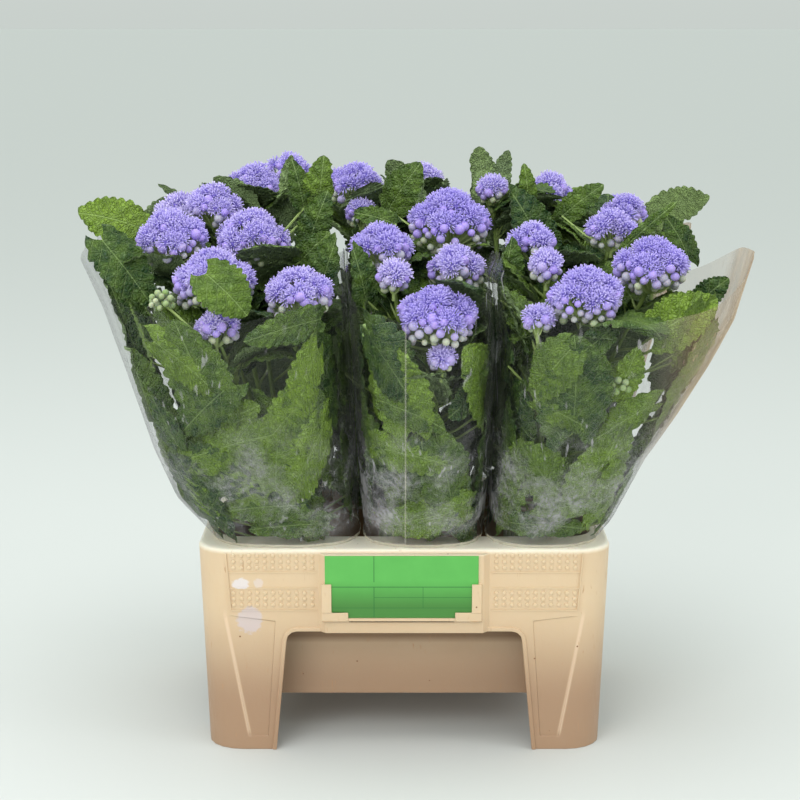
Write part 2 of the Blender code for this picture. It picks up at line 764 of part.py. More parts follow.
def make_head(name, head, finish):
    """One corymb: a flattened ball with twelve floret heads raised from it, and a flat underside."""
    x, y, z, width = head
    half = width / 2
    bm = bmesh.new()
    bmesh.ops.create_icosphere(bm, subdivisions=2, radius=1.0)
    turn = Matrix.Rotation(x * 60 + y * 40, 3, "Z") @ Matrix.Rotation(0.35, 3, "X")
    for vert in bm.verts:
        raised = len(vert.link_edges) == 5
        out = turn @ vert.co * (HEAD_PEAK if raised else HEAD_VALLEY)
        low = max(HEAD_FLAT * out.z, -HEAD_UNDER)
        vert.co = (x + half * out.x, y + half * out.y, z + half * low)
    mesh = bpy.data.meshes.new(name)
    bm.to_mesh(mesh)
    bm.free()
    mesh.materials.append(finish)
    obj = bpy.data.objects.new(name, mesh)
    bpy.context.scene.collection.objects.link(obj)
    return obj


def make_band(bunch, finish):
    """The elastic band round a bunch's tied stems."""
    x, y = foot_of(bunch)
    inner = FOOT_RADIUS + GAP
    bpy.ops.mesh.primitive_torus_add(
        major_segments=10,
        minor_segments=3,
        major_radius=(inner + BAND_THICK) / math.cos(math.pi / 10),
        minor_radius=BAND_THICK,
        location=(x, y, BAND_HEIGHT),
    )
    band = bpy.context.object
    band.name = "band_" + bunch[0]
    band.data.materials.append(finish)
    return band


def make_water():
    finish = material("water", 0.55, 0.62, 0.55, 0.05, 0.5)
    low = TUB_BASE + TUB_FLOOR + GAP
    rings = [ring(tub_half(z, WALL + GAP), TUB_RADIUS - WALL, z) for z in (low, WATER_TOP)]
    water = loft("water", rings, finish)
    holes = []
    for bunch in BUNCHES:
        x, y = foot_of(bunch)
        bpy.ops.mesh.primitive_cylinder_add(
            vertices=12, radius=HOLE_RADIUS, depth=0.4, location=(x, y, HEIGHT / 2)
        )
        holes.append(bpy.context.object)
    return apply_boolean(water, holes, "DIFFERENCE")


def main():
    clear_scene()
    make_container()
    make_card()
    make_water()
    film = material("clear sleeve film", 0.86, 0.88, 0.84, 0.12, 0.25)
    leaf_green = material("ageratum leaf", 0.07, 0.20, 0.03, 0.5)
    violet = material("ageratum floret", 0.36, 0.26, 0.78, 0.7)
    rubber = material("elastic band", 0.62, 0.42, 0.20, 0.6)
    for number, bunch in enumerate(BUNCHES):
        make_sleeve(bunch, film)
        make_foliage(bunch, 100 + number, leaf_green)
        make_band(bunch, rubber)
        for k, head in enumerate(HEADS[bunch[0]]):
            make_head("head_{}_{}".format(bunch[0], k + 1), head, violet)


main()
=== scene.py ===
import functools
import math
import random

import bmesh
import bpy
import numpy as np
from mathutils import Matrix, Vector


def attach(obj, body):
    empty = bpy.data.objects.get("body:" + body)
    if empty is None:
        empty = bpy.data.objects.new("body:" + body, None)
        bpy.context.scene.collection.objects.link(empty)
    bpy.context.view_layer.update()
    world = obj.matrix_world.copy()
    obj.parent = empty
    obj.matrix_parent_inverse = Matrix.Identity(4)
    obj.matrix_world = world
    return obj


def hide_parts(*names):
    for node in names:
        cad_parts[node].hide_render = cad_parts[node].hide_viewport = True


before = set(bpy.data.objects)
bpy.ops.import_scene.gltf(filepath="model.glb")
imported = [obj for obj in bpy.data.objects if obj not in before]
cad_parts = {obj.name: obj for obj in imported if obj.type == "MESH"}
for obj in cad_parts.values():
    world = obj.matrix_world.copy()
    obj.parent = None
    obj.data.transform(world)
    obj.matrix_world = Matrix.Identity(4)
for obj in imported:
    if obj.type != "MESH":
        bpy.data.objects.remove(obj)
bpy.ops.object.select_all(action="DESELECT")
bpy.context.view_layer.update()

# Cut ageratum in clear film sleeves, standing in a moulded flower container.
# Lengths are in metres and +Z is up. The front is at -Y, and the origin is on the floor under the container.
# The container, card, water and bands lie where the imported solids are. Stems, leaves, heads and film follow
# the same named lines as the solids that they replace, and are made finer.

# Container.
RIM_HALF = (0.200, 0.150)
HEIGHT = 0.205
TAPER = 0.0071
TUB_BASE = 0.043
TUB_FLOOR = 0.004
GAP = 0.0003
DOT_ROWS = (0.1982, 0.1922, 0.1862, 0.1608, 0.1548, 0.1488)
DOT_COLUMNS = 11
DOT_FIRST = 0.0885
DOT_PITCH = 0.00755
DOT_RADIUS = 0.0026
DOT_PROUD = 0.0014
PANEL_LINES = (0.1814, 0.1656, 0.1434)
PANEL_INNER = 0.0842
PANEL_OUTER = (0.1672, 0.1712)
PANEL_HEIGHTS = (0.143, 0.202)
PANEL_TOP = 0.2005
LINE_WIDTH = 0.0011
LINE_PROUD = 0.0008
LINE_ROOT = 0.0006
LEG_CREASE = ((0.1730, 0.138), (0.1510, 0.014))
LEG_INNER = ((0.1245, 0.132), (0.1330, 0.014))
LEG_DEPTH = 0.0010
CUTTER_PROUD = 0.004
EDGE_SOFT = 0.0007
CARD_EDGE = 0.00015
# Halves of the long walls: -1 for the front and 1 for the back, then -1 for the left and 1 for the right.
FACE_HALVES = ((-1, -1), (-1, 1), (1, -1), (1, 1))

# Remains of a paper label on the front, beside the left arch, and a stain on the right: middle x and z, half
# sizes, colour and how much it covers.
LABEL_REMAINS = (
    (-0.1570, 0.1700, 0.0085, 0.0060, "#e3dde2", 0.75),
    (-0.1400, 0.1705, 0.0050, 0.0050, "#dfd5da", 0.45),
    (-0.1490, 0.1330, 0.0130, 0.0140, "#cdc1c9", 0.65),
    (0.2010, 0.1720, 0.0050, 0.0180, "#b5713d", 0.5),
)
# Rules of the card's empty form: the axis across each and the one it runs along, where it lies, its two ends
# and its half width.
FORM_RULES = (
    ("Z", "X", 0.1690, -0.0700, 0.0655, 0.00045),
    ("Z", "X", 0.1585, -0.0290, 0.0655, 0.00030),
    ("Z", "X", 0.1480, -0.0700, 0.0655, 0.00030),
    ("X", "Z", -0.0290, 0.1370, 0.1690, 0.00045),
    ("X", "Z", 0.0180, 0.1480, 0.1690, 0.00030),
    ("X", "Z", -0.0290, 0.1740, 0.2000, 0.00045),
)

# Feet of the bunches.
FOOT_Y = 0.062
FOOT_RADIUS = 0.0088
STEMS = 6
STEM_RADIUS = 0.0030
STEM_RING = FOOT_RADIUS - 0.0031
TIE_HEIGHT = 0.182
LEAN_HEIGHT = TIE_HEIGHT - 0.014
BAND_HEIGHT = 0.152
BAND_THICK = 0.0012

# Sleeves: the upright lines between the front bunches, as height and x, and the front film as height and -y.
SIDE_LINES = (
    ((0.205, -0.188), (0.225, -0.205), (0.250, -0.224), (0.300, -0.243), (0.380, -0.266), (0.440, -0.284),
     (0.490, -0.304), (0.520, -0.327)),
    ((0.205, -0.042), (0.490, -0.056)),
    ((0.205, 0.078), (0.290, 0.084), (0.400, 0.088), (0.470, 0.080), (0.500, 0.092)),
    ((0.205, 0.190), (0.225, 0.205), (0.290, 0.234), (0.335, 0.262), (0.385, 0.290), (0.430, 0.312),
     (0.490, 0.327)),
)
FRONT_LINE = ((0.205, 0.147), (0.240, 0.165), (0.300, 0.190), (0.400, 0.222), (0.490, 0.245))
SECTION_POWER = 2.8
SLEEVE_GAP = 0.0006
FILM_BASE = HEIGHT + GAP
RIM_DIP = 0.438
RIM_EAR = 0.497
RIM_WAVES = (3, 5, 8)
RIM_WAVE = 0.0022
FILM_COLUMNS = 132
FILM_ROWS = 52
# Folds: how many go round, how deep they are, and how far they stay at the foot.
FILM_FOLDS = ((9, 0.0016, 0.0), (14, 0.0012, 0.0), (23, 0.0011, 0.6), (31, 0.0010, 1.0))
# The seam's x, the heights of the hem's upper edge, and the x range where the film begins to stand double.
SEAM_AT = 0.0010
HEM_EDGE = (0.2088, 0.2078)
DOUBLE_FILM = (0.215, 0.262)

# Bunches: name, column from the left of its own row, and 1 for the front row or -1 for the back.
BUNCHES = (
    ("front_left", 0, 1),
    ("front_middle", 1, 1),
    ("front_right", 2, 1),
    ("back_right", 0, -1),
    ("back_middle", 1, -1),
    ("back_left", 2, -1),
)

# Flower heads of each bunch: x, y, z of the middle and the width of the head.
HEADS = {
    "front_left": (
        (-0.224, -0.090, 0.500, 0.074),
        (-0.148, -0.070, 0.497, 0.078),
        (-0.177, -0.148, 0.467, 0.080),
        (-0.099, -0.164, 0.455, 0.068),
        (-0.172, -0.192, 0.427, 0.044),
        (-0.190, -0.018, 0.522, 0.060),
    ),
    "front_middle": (
        (-0.022, -0.108, 0.492, 0.062),
        (0.044, -0.062, 0.513, 0.084),
        (0.048, -0.120, 0.474, 0.058),
        (-0.010, -0.150, 0.468, 0.034),
        (0.030, -0.180, 0.437, 0.074),
        (0.034, -0.196, 0.398, 0.028),
    ),
    "front_right": (
        (0.122, -0.105, 0.496, 0.050),
        (0.132, -0.146, 0.477, 0.034),
        (0.166, -0.178, 0.456, 0.072),
        (0.232, -0.138, 0.477, 0.076),
        (0.200, -0.072, 0.504, 0.056),
        (0.122, -0.192, 0.434, 0.030),
    ),
    "back_right": (
        (0.090, 0.044, 0.532, 0.034),
        (0.151, 0.070, 0.528, 0.056),
        (0.226, 0.032, 0.510, 0.052),
        (0.226, 0.104, 0.496, 0.074),
        (0.150, 0.150, 0.478, 0.078),
        (0.188, 0.190, 0.430, 0.044),
    ),
    "back_middle": (
        (-0.050, 0.062, 0.536, 0.064),
        (0.018, 0.088, 0.538, 0.052),
        (-0.044, 0.018, 0.510, 0.032),
        (-0.018, 0.140, 0.500, 0.068),
        (0.010, 0.184, 0.450, 0.060),
        (-0.046, 0.186, 0.430, 0.036),
    ),
    "back_left": (
        (-0.156, 0.085, 0.534, 0.062),
        (-0.122, 0.134, 0.545, 0.052),
        (-0.232, 0.066, 0.506, 0.060),
        (-0.234, 0.144, 0.478, 0.076),
        (-0.166, 0.180, 0.456, 0.072),
        (-0.124, 0.188, 0.434, 0.030),
    ),
}
# Green bud clusters of the front bunches, by column. The back bunches have them half a turn round.
BUD_SPOTS = (
    ((-0.224, -0.168, 0.446), (-0.200, -0.196, 0.392)),
    ((0.008, -0.206, 0.345), (-0.030, -0.184, 0.420)),
    ((0.256, -0.186, 0.421), (0.196, -0.200, 0.372)),
)

# Heads: shares of the half width for the underside and for the room kept free of leaves.
HEAD_UNDER = 0.45
HEAD_TALL = 0.74
# How much of a head's width, round its middle, the extra leaves leave in view.
HEAD_SHOWN = 0.40
# Open tufts of threads and closed buds: how far apart they stand, their sizes, and their stalks.
TUFT_PITCH = 0.0120
TUFT_RADIUS = 0.0026
THREAD_LENGTH = 0.0072
THREAD_WIDTH = 0.00066
THREADS = 56
BUD_RADIUS = 0.0049
BUD_PITCH = 0.0090
BUD_TALL = 1.08
LOBE_TALL = 0.86
PEDICEL_RADII = (0.0009, 0.0007, 0.0006)
# Green bud clusters: how many buds, how far out they stand, their stalk and how far below it springs.
CLUSTER_BUDS = 17
CLUSTER_RADIUS = 0.0105
CLUSTER_STALK = 0.0015
CLUSTER_RISE = 0.040
# Turns in radians: the one from each floret to the next, and the most that a turn left to chance can be.
GOLDEN_ANGLE = 2.39996
ANY_TURN = 6.3
# Seeds of what is left to chance. A bunch's number is added, and the first is the one of the solids' leaves.
LEAF_SEED = 100
EXTRA_SEED = 300
FOLIAGE_SEED = 500
SLEEVE_SEED = 40
TUFT_SEED = 7

# Leaves, first laid as the solids' leaves are. An inset is how far in from the film something is kept.
CLEAR = 0.0016
PACKED_LEAVES = 10
CROWN_LEAVES = 9
STALK_WIDTH = 0.0030
STALK_RADIUS = 0.0012
STALK_RISE = 0.026
LEAF_INSET = 0.0092
BLADE_INSET = 0.0042
SET_INSET = 0.012
LEAF_APART = 0.0035
TRIES = 60
HEIGHT_LIMIT = 0.574
TOP_LIMIT = 0.571
LEAF_ROWS = ((0.0, 1.0), (0.15, 1.06), (0.34, 0.84), (0.53, 1.10), (0.74, 0.94), (1.0, 0.0))
# Smaller leaves that only the finer model has: how many, and the heights and insets of those near the film.
EXTRA_PACKED = 36
EXTRA_CROWN = 56
EXTRA_HEIGHTS = (0.224, 0.425)
EXTRA_INSETS = (0.0062, 0.0150, 0.0240, 0.0360)
EXTRA_CROWN_INSET = 0.0070
# The finer blade: its thickness, teeth, columns, veins and quilting.
LEAF_THICK = 0.0005
TEETH = 9
TOOTH_STEPS = 3
TOOTH_DEPTH = 0.13
# Columns of a blade from its midrib to its edge, as shares of its half width.
BLADE_SPREAD = (0.0, 0.30, 0.60, 0.86, 1.0)
EDGE_COLUMN = len(BLADE_SPREAD) - 1
VEIN_SWEEP = 0.95
VEIN_APART = 0.0120
VEIN_SHIFT = 0.0050
QUILT = 0.0015

# Leaves that stand out in the photograph, for each column: base and tip as pixels of the photograph, depth y
# or None for a leaf against the front film, width as a share of length, and how light its green is.
SET_LEAVES = (
    (
        ((142, 228), (74, 212), -0.060, 0.72, 0.85),
        ((102, 240), (152, 306), -0.130, 0.62, 0.15),
        ((318, 206), (324, 155), -0.056, 0.72, 0.60),
        ((304, 208), (292, 159), -0.056, 0.50, 0.25),
        ((306, 250), (328, 190), -0.070, 0.55, 0.25),
        ((300, 262), (330, 232), -0.100, 0.66, 0.30),
        ((206, 274), (248, 316), -0.206, 0.95, 0.45),
        ((345, 322), (243, 342), -0.212, 0.42, 0.30),
        ((150, 342), (218, 394), None, 0.62, 0.65),
        ((338, 352), (298, 420), None, 0.80, 0.90),
        ((345, 425), (285, 502), None, 0.74, 0.80),
        ((322, 392), (262, 446), None, 0.66, 0.70),
        ((190, 458), (302, 430), None, 0.48, 0.55),
        ((232, 384), (176, 436), None, 0.60, 0.20),
        ((305, 505), (212, 514), None, 0.45, 0.35),
        ((138, 358), (103, 268), -0.110, 0.52, 0.12),
        ((160, 442), (126, 345), -0.120, 0.50, 0.30),
        ((184, 500), (150, 420), -0.120, 0.50, 0.45),
        ((318, 296), (338, 232), -0.125, 0.60, 0.20),
        ((332, 524), (248, 530), None, 0.36, 0.30),
    ),
    (
        ((366, 300), (350, 240), -0.130, 0.55, 0.15),
        ((388, 210), (421, 162), -0.010, 0.70, 0.35),
        ((396, 224), (350, 212), -0.070, 0.50, 0.30),
        ((352, 262), (346, 214), -0.080, 0.60, 0.20),
        ((470, 202), (484, 160), -0.050, 0.62, 0.55),
        ((352, 332), (412, 400), None, 0.78, 0.10),
        ((494, 342), (412, 404), None, 0.50, 0.75),
        ((380, 402), (446, 430), None, 0.50, 0.35),
        ((360, 448), (460, 468), None, 0.46, 0.70),
        ((480, 508), (372, 532), None, 0.42, 0.65),
    ),
    (
        ((548, 264), (506, 183), -0.080, 0.52, 0.10),
        ((528, 206), (524, 163), -0.056, 0.45, 0.50),
        ((562, 216), (604, 184), -0.040, 0.55, 0.35),
        ((626, 246), (678, 201), -0.100, 0.22, 0.35),
        ((690, 262), (664, 214), -0.110, 0.55, 0.20),
        ((698, 302), (729, 278), -0.150, 0.75, 0.08),
        ((654, 336), (718, 298), -0.190, 0.78, 0.85),
        ((570, 350), (518, 400), None, 0.74, 0.50),
        ((562, 502), (508, 444), None, 0.74, 0.50),
        ((656, 404), (588, 444), None, 0.50, 0.55),
        ((528, 402), (594, 432), None, 0.50, 0.50),
        ((610, 330), (570, 366), -0.205, 0.55, 0.15),
        ((688, 402), (722, 318), -0.110, 0.50, 0.25),
        ((640, 482), (690, 392), -0.120, 0.50, 0.35),
        ((600, 522), (648, 452), -0.120, 0.50, 0.45),
        ((602, 502), (528, 514), None, 0.40, 0.55),
        ((508, 524), (592, 530), None, 0.36, 0.30),
        ((500, 300), (512, 236), -0.125, 0.60, 0.20),
    ),
)
# How far a set leaf may be moved in depth to clear the heads.
NUDGES = (0.0, -0.008, 0.008, -0.016, 0.016, -0.026, 0.026)

# Room light at the horizon, and how many times more there is overhead.
ROOM_LIGHT = 0.76
ROOM_RISE = 1.9
# Softboxes: name, place, what each is aimed at, size and power.
SOFTBOXES = (
    ("overhead softbox", (-0.3, -0.5, 2.5), (0, 0, 0.3), 2.2, 28),
    ("front softbox", (-1.3, -2.9, 1.7), (0, 0, 0.35), 1.8, 38),
    ("right softbox", (2.6, -1.2, 1.4), (0, 0, 0.35), 1.6, 16),
)
FLOOR_SIDE = 400.0

# Camera, as fitted to the container in the photograph.
CAMERA_PLACE = (-0.0041, -1.950, 0.700)
CAMERA_PITCH = 79.0
CAMERA_LENS = 87.53
SENSOR_WIDTH = 36.0
PHOTO_SIDE = 800


# Small tools

def new_object(name, data):
    obj = bpy.data.objects.new(name, data)
    bpy.context.scene.collection.objects.link(obj)
    return obj


def make_active(obj):
    bpy.ops.object.select_all(action="DESELECT")
    obj.select_set(True)
    bpy.context.view_layer.objects.active = obj


def apply_modifier(obj, kind, **settings):
    make_active(obj)
    modifier = obj.modifiers.new(kind.lower(), kind)
    for name, value in settings.items():
        setattr(modifier, name, value)
    bpy.ops.object.modifier_apply(modifier=modifier.name)


def place_in_mesh(obj):
    make_active(obj)
    bpy.ops.object.transform_apply(location=True, rotation=True, scale=True)


def pattern_of(obj):
    """The corners and triangles of a modelled shape, which is then removed."""
    place_in_mesh(obj)
    mesh = obj.data
    mesh.calc_loop_triangles()
    corners = np.array([vertex.co for vertex in mesh.vertices])
    triangles = np.array([triangle.vertices for triangle in mesh.loop_triangles])
    bpy.data.objects.remove(obj)
    return corners, triangles


class Pile:
    """Gathers many small shapes into one piece, with a finish and attribute values for each."""

    def __init__(self, **widths):
        self.corners = []
        self.triangles = []
        self.finishes = []
        self.values = {name: [] for name in widths}
        self.widths = widths
        self.count = 0

    def add(self, corners, triangles, finish, **values):
        corners = np.asarray(corners, float)
        self.corners.append(corners)
        self.triangles.append(np.asarray(triangles, int) + self.count)
        self.finishes.append(np.full(len(triangles), finish))
        for name, width in self.widths.items():
            value = np.asarray(values.get(name, 0.0), float)
            shape = (len(corners), width) if width > 1 else (len(corners),)
            self.values[name].append(np.broadcast_to(value, shape))
        self.count += len(corners)

    def build(self, name, finishes):
        mesh = bpy.data.meshes.new(name)
        mesh.from_pydata(np.concatenate(self.corners), [], np.concatenate(self.triangles))
        mesh.polygons.foreach_set("material_index", np.concatenate(self.finishes).astype(np.int32))
        for label, width in self.widths.items():
            kind = "FLOAT_VECTOR" if width > 1 else "FLOAT"
            attribute = mesh.attributes.new(label, kind, "POINT")
            data = np.concatenate(self.values[label]).astype(np.float32).ravel()
            attribute.data.foreach_set("vector" if width > 1 else "value", data)
        mesh.shade_smooth()
        mesh.set_sharp_from_angle(angle=math.radians(60))
        for finish in finishes:
            mesh.materials.append(finish)
        return new_object(name, mesh)


def unit(vector):
    vector = np.asarray(vector, float)
    return vector / max(float(np.linalg.norm(vector)), 1e-9)


def frame_about(direction):
    """Two directions at right angles to the given one, and to each other."""
    direction = unit(direction)
    other = np.array((0.0, 0.0, 1.0)) if abs(direction[2]) < 0.9 else np.array((1.0, 0.0, 0.0))
    first = unit(np.cross(other, direction))
    return first, np.cross(direction, first)


def turned_to(direction, spin=0.0):
    """A matrix whose columns turn the pattern's +Z to the direction, after a spin about it."""
    first, second = frame_about(direction)
    across = math.cos(spin) * first + math.sin(spin) * second
    return np.column_stack((across, np.cross(unit(direction), across), unit(direction)))


def direction_at(lift, angle):
    """The direction at a turn about +Z whose height on the unit ball is lift."""
    flat = math.sqrt(max(1 - lift * lift, 0.0))
    return np.array((flat * math.cos(angle), flat * math.sin(angle), lift))


def tube(path, radii, sides):
    """A closed round tube along a path of points."""
    path = np.asarray(path, float)
    count = len(path)
    corners = []
    first, _ = frame_about(path[-1] - path[0])
    for i in range(count):
        ahead = unit(path[min(i + 1, count - 1)] - path[max(i - 1, 0)])
        first = unit(first - ahead * np.dot(first, ahead))
        second = np.cross(ahead, first)
        for k in range(sides):
            angle = 2 * math.pi * k / sides
            corners.append(path[i] + radii[i] * (math.cos(angle) * first + math.sin(angle) * second))
    corners.append(path[0])
    corners.append(path[-1])
    triangles = []
    low, high = count * sides, count * sides + 1
    for k in range(sides):
        j = (k + 1) % sides
        for i in range(count - 1):
            a, b = i * sides + k, i * sides + j
            triangles.extend(((a, b, b + sides), (a, b + sides, a + sides)))
        triangles.append((low, j, k))
        triangles.append((high, (count - 1) * sides + k, (count - 1) * sides + j))
    return np.array(corners), np.array(triangles)


# Materials

def linear(colour):
    """An sRGB hex colour as linear red, green, blue and alpha."""
    values = [int(colour[i:i + 2], 16) / 255 for i in (1, 3, 5)]
    return tuple(v / 12.92 if v <= 0.04045 else ((v + 0.055) / 1.055) ** 2.4 for v in values) + (1.0,)


def feed(tree, socket, value):
    """Gives a socket its value: a number, a hex colour, or a node or another socket to link from."""
    if isinstance(value, bpy.types.Node):
        value = next(output for output in value.outputs if output.enabled)
    if isinstance(value, bpy.types.NodeSocket):
        tree.links.new(value, socket)
    else:
        socket.default_value = linear(value) if isinstance(value, str) else value


def add_node(tree, kind, *values, **settings):
    """Adds a node. The values go to its inputs in order. A setting that starts with a capital is an input by
    its name, and any other is a property."""
    node = tree.nodes.new("ShaderNode" + kind)
    named = {name: value for name, value in settings.items() if name[0].isupper()}
    for name, value in settings.items():
        if name not in named:
            setattr(node, name, value)
    for socket, value in zip([socket for socket in node.inputs if socket.enabled], values):
        feed(tree, socket, value)
    for name, value in named.items():
        feed(tree, node.inputs[name.replace("_", " ")], value)
    return node


def start_finish(name, **settings):
    """A new material with its shader's plain settings. Returns the material, what adds nodes to it, and the
    place of each point of the piece."""
    finish = bpy.data.materials.new(name)
    finish.use_nodes = True
    add = functools.partial(add_node, finish.node_tree)
    finished(finish, **settings)
    return finish, add, add("TexCoord").outputs["Object"]


def finished(finish, bump=None, **patterns):
    """Gives the shader its patterns, and a bump: its height, strength, distance and what it lies on."""
    tree = finish.node_tree
    if bump:
        sockets = ("Height", "Strength", "Distance", "Normal")
        patterns["Normal"] = add_node(tree, "Bump", **dict(zip(sockets, bump)))
    for socket, pattern in patterns.items():
        feed(tree, tree.nodes["Principled BSDF"].inputs[socket.replace("_", " ")], pattern)
    return finish


def mask(add, *steps):
    """The product of steps. Each is a factor, or a value with where it is 0, where it is 1, and its most."""
    product = None
    for step in steps:
        if isinstance(step, tuple):
            value, zero, one, *most = step
            step = add("MapRange", value, zero, one, 0.0, *most or (1.0,))
        product = step if product is None else add("Math", product, step, operation="MULTIPLY")
    return product


def coated(add, colour, *coats):
    """A colour with coats over it, each given by how much it covers and its own colour."""
    for cover, coat in coats:
        colour = add("Mix", cover, colour, coat, data_type="RGBA")
    return colour


def moulded_polyethylene():
    """High-density polyethylene, injection moulded and long in use: a waxy satin peach that lets in a little
    light, scuffed, browner low down with dirt and painted shade, with brown specks and the remains of a label,
    a painted highlight on the rim's top and along each leg's crease, and a painted shadow in the gap under the
    skirt."""
    finish, add, place = start_finish("moulded polyethylene", IOR=1.53, Subsurface_Weight=0.12,
                                      Subsurface_Scale=0.004, Subsurface_Radius=(1.0, 0.6, 0.35))
    x, y, z = add("SeparateXYZ", place).outputs
    sideways = add("Math", x, operation="ABSOLUTE")
    out = add("Math", y, operation="ABSOLUTE")
    # Clouding of the plastic, about 60 mm across.
    cloud = add("TexNoise", place, Scale=16.0, Detail=4.0, Roughness=0.6)
    fresh = coated(add, "#d6b894", (cloud, "#e0c7a6"))
    # The legs and the tub under the arches are browner, with dirt and painted shade, and the rim's top is
    # painted lighter, a painted highlight where it faces the light.
    low = mask(add, add("MapRange", z, 0.160, 0.045, interpolation_type="SMOOTHSTEP"), 0.80)
    painted_rim_highlight = mask(add, (z, 0.1990, 0.2040, 0.92))
    # The gap between skirt and tub is brown at its top: a painted shadow of the skirt on the tub.
    painted_gap_shadow = mask(add, (z, 0.0960, 0.1030), (out, 0.136, 0.132), (sideways, 0.187, 0.182),
                 (z, 0.200, 0.190, 0.80))
    # A painted highlight some 3 mm wide along the slanted crease of each leg.
    (top_x, top_z), (foot_x, foot_z) = LEG_CREASE
    line = add("MapRange", z, foot_z, top_z, foot_x, top_x)
    away = add("Math", add("Math", sideways, line, operation="SUBTRACT"), operation="ABSOLUTE")
    painted_crease_highlight = mask(add, (away, 0.0024, 0.0008), (z, 0.144, 0.134, 0.55), (z, 0.012, 0.020), (out, 0.138, 0.140))
    # Scuffs: long thin marks, 1 mm wide and some 15 mm long.
    stretch = add("Mapping", place, Scale=(1.0, 1.0, 0.16), Rotation=(0.0, 0.35, 0.0))
    scuff = add("TexNoise", stretch, Scale=420.0, Detail=2.0)
    marks = mask(add, (scuff, 0.66, 0.78), (cloud, 0.45, 0.65))
    # Specks of dirt, about 1 mm across and 15 mm apart.
    speck = add("TexVoronoi", place, Scale=70.0)
    few = add("SeparateXYZ", speck.outputs["Color"])
    dirt = mask(add, (speck, 0.075, 0.045), (few, 0.62, 0.70))
    colour = coated(add, fresh, (low, "#99745a"), (painted_rim_highlight, "#fbf4e4"), (painted_gap_shadow, "#7f5a36"), (painted_crease_highlight, "#ecd0b4"),
                    (marks, "#b98c66"), (dirt, "#7a4a26"))
    fray = add("TexNoise", place, Scale=260.0, Detail=4.0)
    for middle_x, middle_z, half_x, half_z, shade, strength in LABEL_REMAINS:
        across = add("Math", add("Math", x, middle_x, operation="SUBTRACT"), half_x, operation="DIVIDE")
        up = add("Math", add("Math", z, middle_z, operation="SUBTRACT"), half_z, operation="DIVIDE")
        away = add("VectorMath", add("CombineXYZ", across, up), operation="LENGTH")
        frayed = add("Math", away, fray, operation="ADD")
        patch = mask(add, (frayed, 1.55, 1.30), (y, -0.140, -0.142), strength)
        colour = coated(add, colour, (patch, shade))
    # Satin from the mould, duller where it is scuffed. A faint orange peel, 2 mm across, with the scuffs as
    # shallow scratches in it.
    gloss = add("MapRange", scuff, 0.3, 0.75, 0.36, 0.56)
    peel = add("TexNoise", place, Scale=500.0, Detail=2.0)
    height = add("Math", peel, marks, operation="SUBTRACT")
    return finished(finish, Base_Color=colour, Roughness=gloss, bump=(height, 0.25, 0.0004))


def printed_card():
    """Coated green card: flat and dull-glossy, with the thin dark rules of an empty form."""
    finish, add, place = start_finish("coated green card", Roughness=0.42)
    ways = add("SeparateXYZ", place).outputs
    mottle = add("TexNoise", place, Scale=60.0, Detail=3.0)
    lower = mask(add, (ways["Z"], 0.176, 0.150, 0.9))
    colour = coated(add, "#55ab4c", (mottle, "#61b956"), (lower, "#407a30"))
    for across, run, at, low, high, half in FORM_RULES:
        off = add("Math", add("Math", ways[across], at, operation="SUBTRACT"), operation="ABSOLUTE")
        near = add("Math", off, half, operation="LESS_THAN")
        after = add("Math", ways[run], low, operation="GREATER_THAN")
        before = add("Math", ways[run], high, operation="LESS_THAN")
        colour = coated(add, colour, (mask(add, near, after, before, 0.75), "#1d6a2c"))
    # Card fibres under the coating, about 0.5 mm.
    fibre = add("TexNoise", place, Scale=1800.0, Detail=2.0)
    return finished(finish, Base_Color=colour, bump=(fibre, 0.15, 0.0001))


def still_water():
    """Vase water that stems have stood in: clear, faintly green and brown, with a smooth surface."""
    finish, add, place = start_finish("still vase water", Roughness=0.04, IOR=1.333, Alpha=0.55)
    murk = add("TexNoise", place, Scale=22.0, Detail=3.0)
    return finished(finish, Base_Color=coated(add, "#5d6a4e", (murk, "#8b9474")), bump=(murk, 0.08, 0.002))


def latex_rubber():
    """A natural rubber band: tan, slightly see-through and dull, with fine dust on it."""
    finish, add, place = start_finish("natural latex rubber", Roughness=0.55, IOR=1.52,
                                      Subsurface_Weight=0.15, Subsurface_Scale=0.001)
    dust = add("TexNoise", place, Scale=700.0, Detail=3.0)
    return finished(finish, Base_Color=coated(add, "#b98a4e", (dust, "#d0ab74")), bump=(dust, 0.3, 0.0002))


